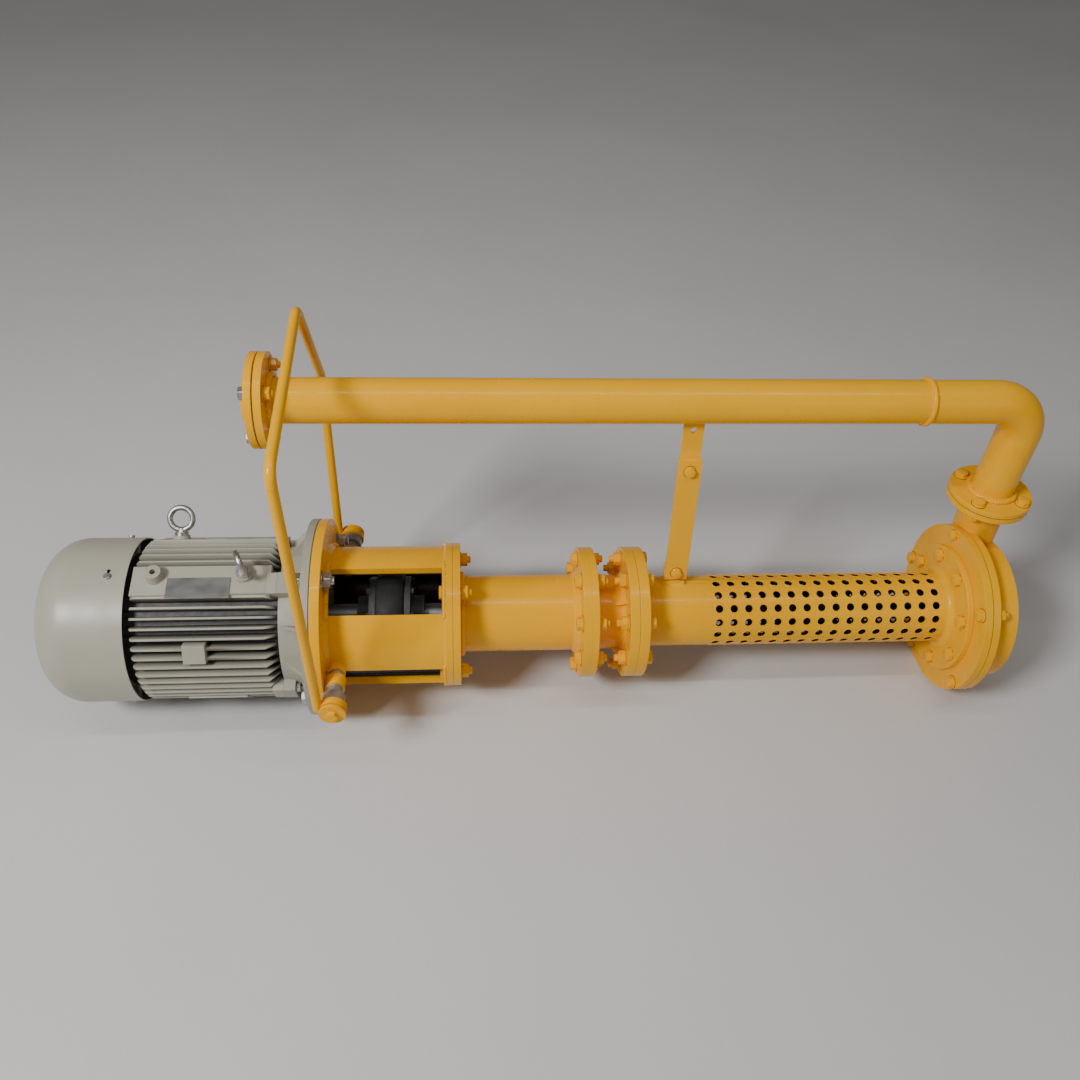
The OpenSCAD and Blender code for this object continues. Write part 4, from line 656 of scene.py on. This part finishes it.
bm = welded_copy("strainer_column")
moved = 0
for vert in bm.verts:
    if abs(math.hypot(vert.co.y, vert.co.z) - tube_r) < near_enough:
        new_place = widen_rim(vert.co)
        moved += new_place is not vert.co
        vert.co = new_place
rims = [e for e in sharp_edges(bm, 60.0)
        if min(math.hypot(v.co.y, v.co.z) for v in e.verts) > flange_inside]
round_edges(bm, rims, flange_edge, clamp=False)
piece = add_piece("soft_strainer_column", bm, node_finish("strainer_column"), "pump_unit")
level_faces(piece)
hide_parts("strainer_column")
lips = bmesh.new()
for x in hole_x:
    for angle in hole_angle:
        lip_ring(lips, x, angle, rim_r + lip_gap, lip_thickness)
bmesh.ops.recalc_face_normals(lips, faces=lips.faces)
piece = add_piece("hole_lips", lips, yellow_enamel, "pump_unit", 80.0)
print("column", moved, "rim points moved;", len(piece.data.polygons), "faces of lips")

# %% [markdown]
# The pump is a welded job, so each tube meets its flange in a weld bead under the paint.
# A bead is a thick ring whose section swells and shrinks a little from one weld pass to the next.
# Two slow waves let it wander by up to half a millimetre.
# The same code lays a full ring round a tube or an arc along one arm of the stool.

# %% A weld bead
ripple_share = 0.16


def bead(bm, centre, axis, radius, size, start=0.0, sweep=360.0, pitch=0.0045, sides=8):
    """Lays a rippled bead round an axis, closed when it goes all the way round."""
    turn = Vector(axis).to_track_quat("Z", "Y").to_matrix().to_4x4()
    place = Matrix.Translation(centre) @ turn
    closed = sweep >= 360.0
    length = math.radians(sweep) * radius
    count = max(8, int(length / pitch) * 4)
    rings = []
    for i in range(count if closed else count + 1):
        share = i / count
        a = math.radians(start + sweep * share)
        ripple = 1.0 + ripple_share * abs(math.sin(math.pi * share * round(length / pitch)))
        wander = 0.0003 * math.sin(share * 37.0) + 0.0002 * math.sin(share * 91.0)
        ring = []
        for k in range(sides):
            b = 2 * math.pi * k / sides
            out = radius + wander + size * ripple * math.cos(b)
            point = Vector((out * math.cos(a), out * math.sin(a), size * ripple * math.sin(b)))
            ring.append(bm.verts.new(place @ point))
        rings.append(ring)
    join_rings(bm, rings, closed)
    if not closed:
        bm.faces.new(rings[0])
        bm.faces.new(list(reversed(rings[-1])))


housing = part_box("bearing_housing")
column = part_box("strainer_column")
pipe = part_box("discharge_pipe")
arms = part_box("stool_arms")
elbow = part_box("discharge_elbow")
print("welds at", [round(piece[0].x, 3) for piece in (housing, column, pipe, arms)])

# %% [markdown]
# Each bead sits a flange's thickness in from the end of its tube.
# The stool has four arms, and each has a larger bead at the motor's end and a smaller one at the pump's.
# Those two are given by their place along the pump, their radius and their size.

# %% Weld beads
along_pump, towards_motor, upright = (1, 0, 0), (-1, 0, 0), (0, 0, 1)
pipe_y, pipe_z, pipe_r = 0.0759, 0.414, 0.0365
elbow_x = -0.0694
bead_size = 0.0045
housing_flange, column_flange, pipe_flange, elbow_flange = 0.0158, 0.0220, 0.0152, 0.0130
housing_bead_r, column_bead_r = 0.0720, 0.0678
pipe_bead_r = pipe_r + 0.0030
arm_edge, arm_inset, arm_sweep = 43.0, 0.8, 48.4
beads = bmesh.new()
bead(beads, (housing[0].x + housing_flange, 0, 0), along_pump, housing_bead_r, bead_size)
bead(beads, (column[0].x + column_flange, 0, 0), along_pump, column_bead_r, bead_size)
bead(beads, (pipe[0].x + pipe_flange, pipe_y, pipe_z), along_pump, pipe_bead_r, bead_size)
bead(beads, (elbow_x, pipe_y, elbow[0].z + elbow_flange), upright, pipe_bead_r, bead_size)
arm_ends = ((arms[0].x + 0.0030, 0.1270, 0.0048), (arms[1].x - 0.0018, 0.1256, 0.0036))
for i in range(4):
    start = arm_edge + 90.0 * i + arm_inset
    for x, radius, size in arm_ends:
        bead(beads, (x, 0, 0), towards_motor, radius, size, start, arm_sweep)
bmesh.ops.recalc_face_normals(beads, faces=beads.faces)
piece = add_piece("weld_beads", beads, yellow_enamel, "pump_unit", 80.0)
print("beads", len(piece.data.polygons), "faces")

# %% [markdown]
# A band is a thin closed ring of rectangular section. The first two are the sleeves on the bail's pivots,
# which are yellow like the pump, next to grey rings.

# %% Painted sleeves
band_depth = 0.002


def line_round(bm, centre, axis, radius, half_width, steps=96):
    """A closed thin band round an axis."""
    turn = Vector(axis).to_track_quat("Z", "Y").to_matrix().to_4x4()
    place = Matrix.Translation(centre) @ turn
    inner = radius - band_depth
    section = ((radius, -half_width), (radius, half_width), (inner, half_width), (inner, -half_width))
    rings = []
    for i in range(steps):
        a = 2 * math.pi * i / steps
        points = [Vector((r * math.cos(a), r * math.sin(a), z)) for r, z in section]
        rings.append([bm.verts.new(place @ point) for point in points])
    join_rings(bm, rings)


pivot_x = -1.2347
sleeve_y = 0.157
sleeve_r = 0.0165
sleeve_half = 0.0112
sleeves = bmesh.new()
for side in (-1, 1):
    line_round(sleeves, (pivot_x, side * sleeve_y, 0), (0, 1, 0), sleeve_r, sleeve_half, 64)
bmesh.ops.recalc_face_normals(sleeves, faces=sleeves.faces)
piece = add_piece("painted_sleeves", sleeves, yellow_enamel, "pump_unit", 30.0)
print("sleeves", len(piece.data.polygons), "faces")

# %% [markdown]
# Where two flanges meet, their rounded edges leave a fine groove that the paint doesn't bridge.
# A thin band of painted shade, in black, at the bottom of each groove draws that line round the whole
# joint.

# %% Joint lines
def node_radius(name):
    """The radius of a node that is round about the pump's axis."""
    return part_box(name)[1].z


stool_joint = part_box("stool_end_flange")[1].x
line_half = 0.0006
joints = (
    (stool_joint, "stool_end_flange", 0.0004),
    (housing[1].x, "neck_spool", 0.0004),
    (column[0].x, "neck_spool", 0.0004),
    (motor_joint, "stool_motor_flange", 0.0006),
)
lines = bmesh.new()
for x, name, below in joints:
    line_round(lines, (x, 0, 0), along_pump, node_radius(name) - below, line_half)
bmesh.ops.recalc_face_normals(lines, faces=lines.faces)
# The bands are painted shade, made in the black plastic finish.
piece = add_piece("joint_shade_lines", lines, black_plastic, "pump_unit", 30.0)
print("lines", len(piece.data.polygons), "faces")

# %% [markdown]
# The bolts are what the eye counts on this pump, so they are made again in full.
# A forged head is a hexagon whose corners are cut by a shallow cone, and a nut is the same on both ends.
# Every such piece is a skin over rows of points, where a point is a radius and a height.

# %% Hexagons
corner_share = 0.978
cone_share = 0.95


def skin_rows(bm, angles, rows, place):
    """Joins rows of (radius, height) points into a closed skin round the axis."""
    rings = []
    for row in rows:
        rings.append([bm.verts.new(place @ Vector((r * math.cos(a), r * math.sin(a), z)))
                      for a, (r, z) in zip(angles, row)])
    count = len(angles)
    for one, two in zip(rings, rings[1:]):
        for k in range(count):
            n = (k + 1) % count
            bm.faces.new((one[k], one[n], two[n], two[k]))
    bm.faces.new(list(reversed(rings[0])))
    bm.faces.new(rings[-1])


def hexagon_radius(angle, flats):
    """Distance from the axis to the side of a hexagon whose corners are slightly worn."""
    from_flat = (angle % (math.pi / 3)) - math.pi / 6
    return min(flats / 2 / math.cos(from_flat), flats / math.sqrt(3) * corner_share)


def hexagon_angles():
    """Angles of the points round a hexagon, closer together at its corners."""
    steps = (-30.0, -27.5, -20.0, -10.0, 0.0, 10.0, 20.0, 27.5)
    return [math.radians(60.0 * side + 30.0 + step) for side in range(6) for step in steps]


def hexagon(bm, flats, low, high, place, low_cut, high_cut):
    """A hexagon from low to high, with its corners cut by a cone at either end."""
    angles = hexagon_angles()
    cone = flats / 2 * cone_share
    slope = math.tan(math.radians(30))
    radii = [hexagon_radius(a, flats) for a in angles]
    cut = [max(0.0, r - cone) * slope for r in radii]
    rows = []
    if low_cut:
        rows.append([(cone, low)] * len(angles))
        rows.append([(r, low + c) for r, c in zip(radii, cut)])
    else:
        rows.append([(r, low) for r in radii])
    if high_cut:
        rows.append([(r, high - c) for r, c in zip(radii, cut)])
        rows.append([(cone, high)] * len(angles))
    else:
        rows.append([(r, high) for r in radii])
    skin_rows(bm, angles, rows, place)


print("points round a hexagon", len(hexagon_angles()))

# %% [markdown]
# The bolt's end shows past the nut, with a real screw thread that climbs one pitch each turn.
# A washer is a flat ring with softened edges, and shanks are plain and round.

# %% Threads and washers
thread_depth = 0.45
chamfer = 0.0012
chamfer_depth = 0.0009


def thread_pitch(d):
    """A pitch that grows with the bolt's diameter."""
    return 0.0014 + 0.03 * (d - 0.008)


def turned(bm, outline, place, count=32):
    """A round piece from an outline of (radius, height) points."""
    angles = [2 * math.pi * k / count for k in range(count)]
    skin_rows(bm, angles, [[point] * count for point in outline], place)


def thread(bm, d, low, high, place, count=20):
    """The threaded end of a bolt: a screw thread that runs out into a small chamfer."""
    pitch = thread_pitch(d)
    depth = thread_depth * pitch
    steps = max(4, round((high - low) / (pitch / 4)))
    angles = [2 * math.pi * k / count for k in range(count)]
    rows = []
    for i in range(steps + 1):
        z = low + (high - low) * i / steps
        row = []
        for a in angles:
            phase = (z / pitch - a / (2 * math.pi)) % 1.0
            groove = depth * (1.0 - abs(2.0 * phase - 1.0))
            end = max(0.0, (z - (high - chamfer)) / chamfer)
            row.append((d / 2 - groove - chamfer_depth * end, z))
        rows.append(row)
    skin_rows(bm, angles, rows, place)


def washer(bm, d, low, high, place):
    """A flat washer with softened edges."""
    edge = 0.0004
    turned(bm, [(d - edge, low), (d, low + edge), (d, high - edge), (d - edge, high)], place)


print("pitch of a 12 mm bolt", round(thread_pitch(0.012) * 1000, 2), "mm")

# %% [markdown]
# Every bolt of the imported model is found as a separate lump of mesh, and a new one goes in its place.
# Each is turned a different amount about its axis, because heads are never left in line.

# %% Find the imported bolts
spin_step = 37.0


def lumps(name):
    """The separate lumps of a node's mesh, each as a list of points."""
    bm = welded(name)
    seen = set()
    groups = []
    for vert in bm.verts:
        if vert in seen:
            continue
        stack = [vert]
        seen.add(vert)
        group = []
        while stack:
            v = stack.pop()
            group.append(v.co.copy())
            for edge in v.link_edges:
                other = edge.other_vert(v)
                if other not in seen:
                    seen.add(other)
                    stack.append(other)
        groups.append(group)
    bm.free()
    return groups


def lump_place(group, direction, index):
    """A matrix at the head's end of a fastener, with Z towards its nut, and the fastener's length."""
    axis = Vector(direction).normalized()
    turn = axis.to_track_quat("Z", "Y").to_matrix()
    local = [turn.transposed() @ point for point in group]
    low = Vector([min(p[i] for p in local) for i in range(3)])
    high = Vector([max(p[i] for p in local) for i in range(3)])
    foot = turn @ Vector(((low.x + high.x) / 2, (low.y + high.y) / 2, low.z))
    spin = Matrix.Rotation(math.radians(spin_step * index), 4, "Z")
    return Matrix.Translation(foot) @ turn.to_4x4() @ spin, high.z - low.z


print("motor bolts found", len(lumps("motor_bolts")))

# %% [markdown]
# Round the foot of each head and washer lies a thin line of painted shade, in a deep amber.
# These lines are gathered in one mesh while the bolts are made.

# %% Whole bolts and screws
seats = bmesh.new()
seat_width = 0.0010
seat_height = 0.0004
thread_inside = 0.001
head_share, nut_share, washer_share, thread_share = 0.65, 0.8, 0.15, 0.985


def flats_of(d):
    """The width across the flats of a bolt's head and nut."""
    return 1.5 * d + 0.001


def seat(radius, low, place):
    """The thin line of painted shade round the foot of a head or a washer."""
    turned(seats, [(radius + seat_width, low), (radius + seat_width, low + seat_height)], place, 32)


def bolt(bm, nuts, d, tail, place, length):
    """A whole bolt: head, washer and shank in one mesh, and washer, nut and threaded end in the other."""
    flats = flats_of(d)
    head = head_share * d
    disc = washer_share * d
    nut = nut_share * d
    nut_high = length - tail
    hexagon(bm, flats, 0.0, head, place, True, False)
    washer(bm, d, head, head + disc, place)
    turned(bm, [(d / 2, head), (d / 2, nut_high - nut / 2)], place, 20)
    washer(nuts, d, nut_high - nut - disc, nut_high - nut, place)
    hexagon(nuts, flats, nut_high - nut, nut_high, place, True, True)
    thread(nuts, d * thread_share, nut_high - thread_inside, length, place)
    seat(d, head + disc - seat_height, place)
    seat(d, nut_high - nut - disc, place)


def screw(bm, d, place, length):
    """A screw with a hexagon head and a plain shank."""
    head = head_share * d
    flats = flats_of(d)
    hexagon(bm, flats, 0.0, head, place, True, False)
    turned(bm, [(d / 2, head / 2), (d / 2, length)], place, 20)
    seat(flats / 2, head - seat_height, place)


def make_fasteners(name, direction, d, tail, screws=(), painted_nuts=False):
    """Makes every bolt of a node again, or a screw at the places listed in screws."""
    bm = bmesh.new()
    nuts = bmesh.new() if painted_nuts else bm
    groups = lumps(name)
    for index, group in enumerate(groups):
        place, length = lump_place(group, direction, index)
        if screws == "all" or index in screws:
            screw(bm, d, place, length)
        else:
            bolt(bm, nuts, d, tail, place, length)
    bmesh.ops.recalc_face_normals(bm, faces=bm.faces)
    piece = add_piece("made_" + name, bm, node_finish(name), body_of_node[name], 32.0)
    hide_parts(name)
    if painted_nuts:
        bmesh.ops.recalc_face_normals(nuts, faces=nuts.faces)
        add_piece("painted_" + name, nuts, yellow_enamel, body_of_node[name], 32.0)
    return len(groups)


print("heads are", head_share, "of the diameter high")

# %% [markdown]
# The direction points from a bolt's head to its nut, and the tail is how far its end stands past the nut.
# The outlet's nuts are painted with their flange. A packed fastener of the casing that is shorter than
# the rest has no nut, so its place gets a screw.

# %% Make the fasteners
strap_lean = math.atan2(pipe_y, pipe_z)
across_strap = (0, math.cos(strap_lean), -math.sin(strap_lean))
downward = (0, 0, -1)
shorter_by = 0.005
casing_lengths = [max(p.x for p in g) - min(p.x for p in g) for g in lumps("casing_bolts_nuts")]
short = [i for i, length in enumerate(casing_lengths) if length < max(casing_lengths) - shorter_by]
fasteners = (
    ("motor_bolts", along_pump, 0.016, 0.005, (), False),
    ("stool_bolts", along_pump, 0.014, 0.006, (), False),
    ("housing_bolts", along_pump, 0.014, 0.006, (), False),
    ("neck_bolts", towards_motor, 0.014, 0.008, (), False),
    ("elbow_bolts", downward, 0.012, 0.004, (), False),
    ("outlet_bolts", along_pump, 0.012, 0.004, (), True),
    ("strap_bolts", across_strap, 0.010, 0.003, (), False),
    ("column_screws", along_pump, 0.014, 0.0, "all", False),
    ("suction_screws", towards_motor, 0.010, 0.0, "all", False),
    ("casing_bolts_nuts", along_pump, 0.012, 0.007, short, False),
)
for name, direction, d, tail, screws, painted_nuts in fasteners:
    print("made", name, make_fasteners(name, direction, d, tail, screws, painted_nuts))
bmesh.ops.recalc_face_normals(seats, faces=seats.faces)
# The seat lines are painted shade.
piece = add_piece("seat_shade_lines", seats, amber_seat_shade, "pump_unit", 30.0)
print("seats", len(piece.data.polygons), "faces, casing screws", len(short))
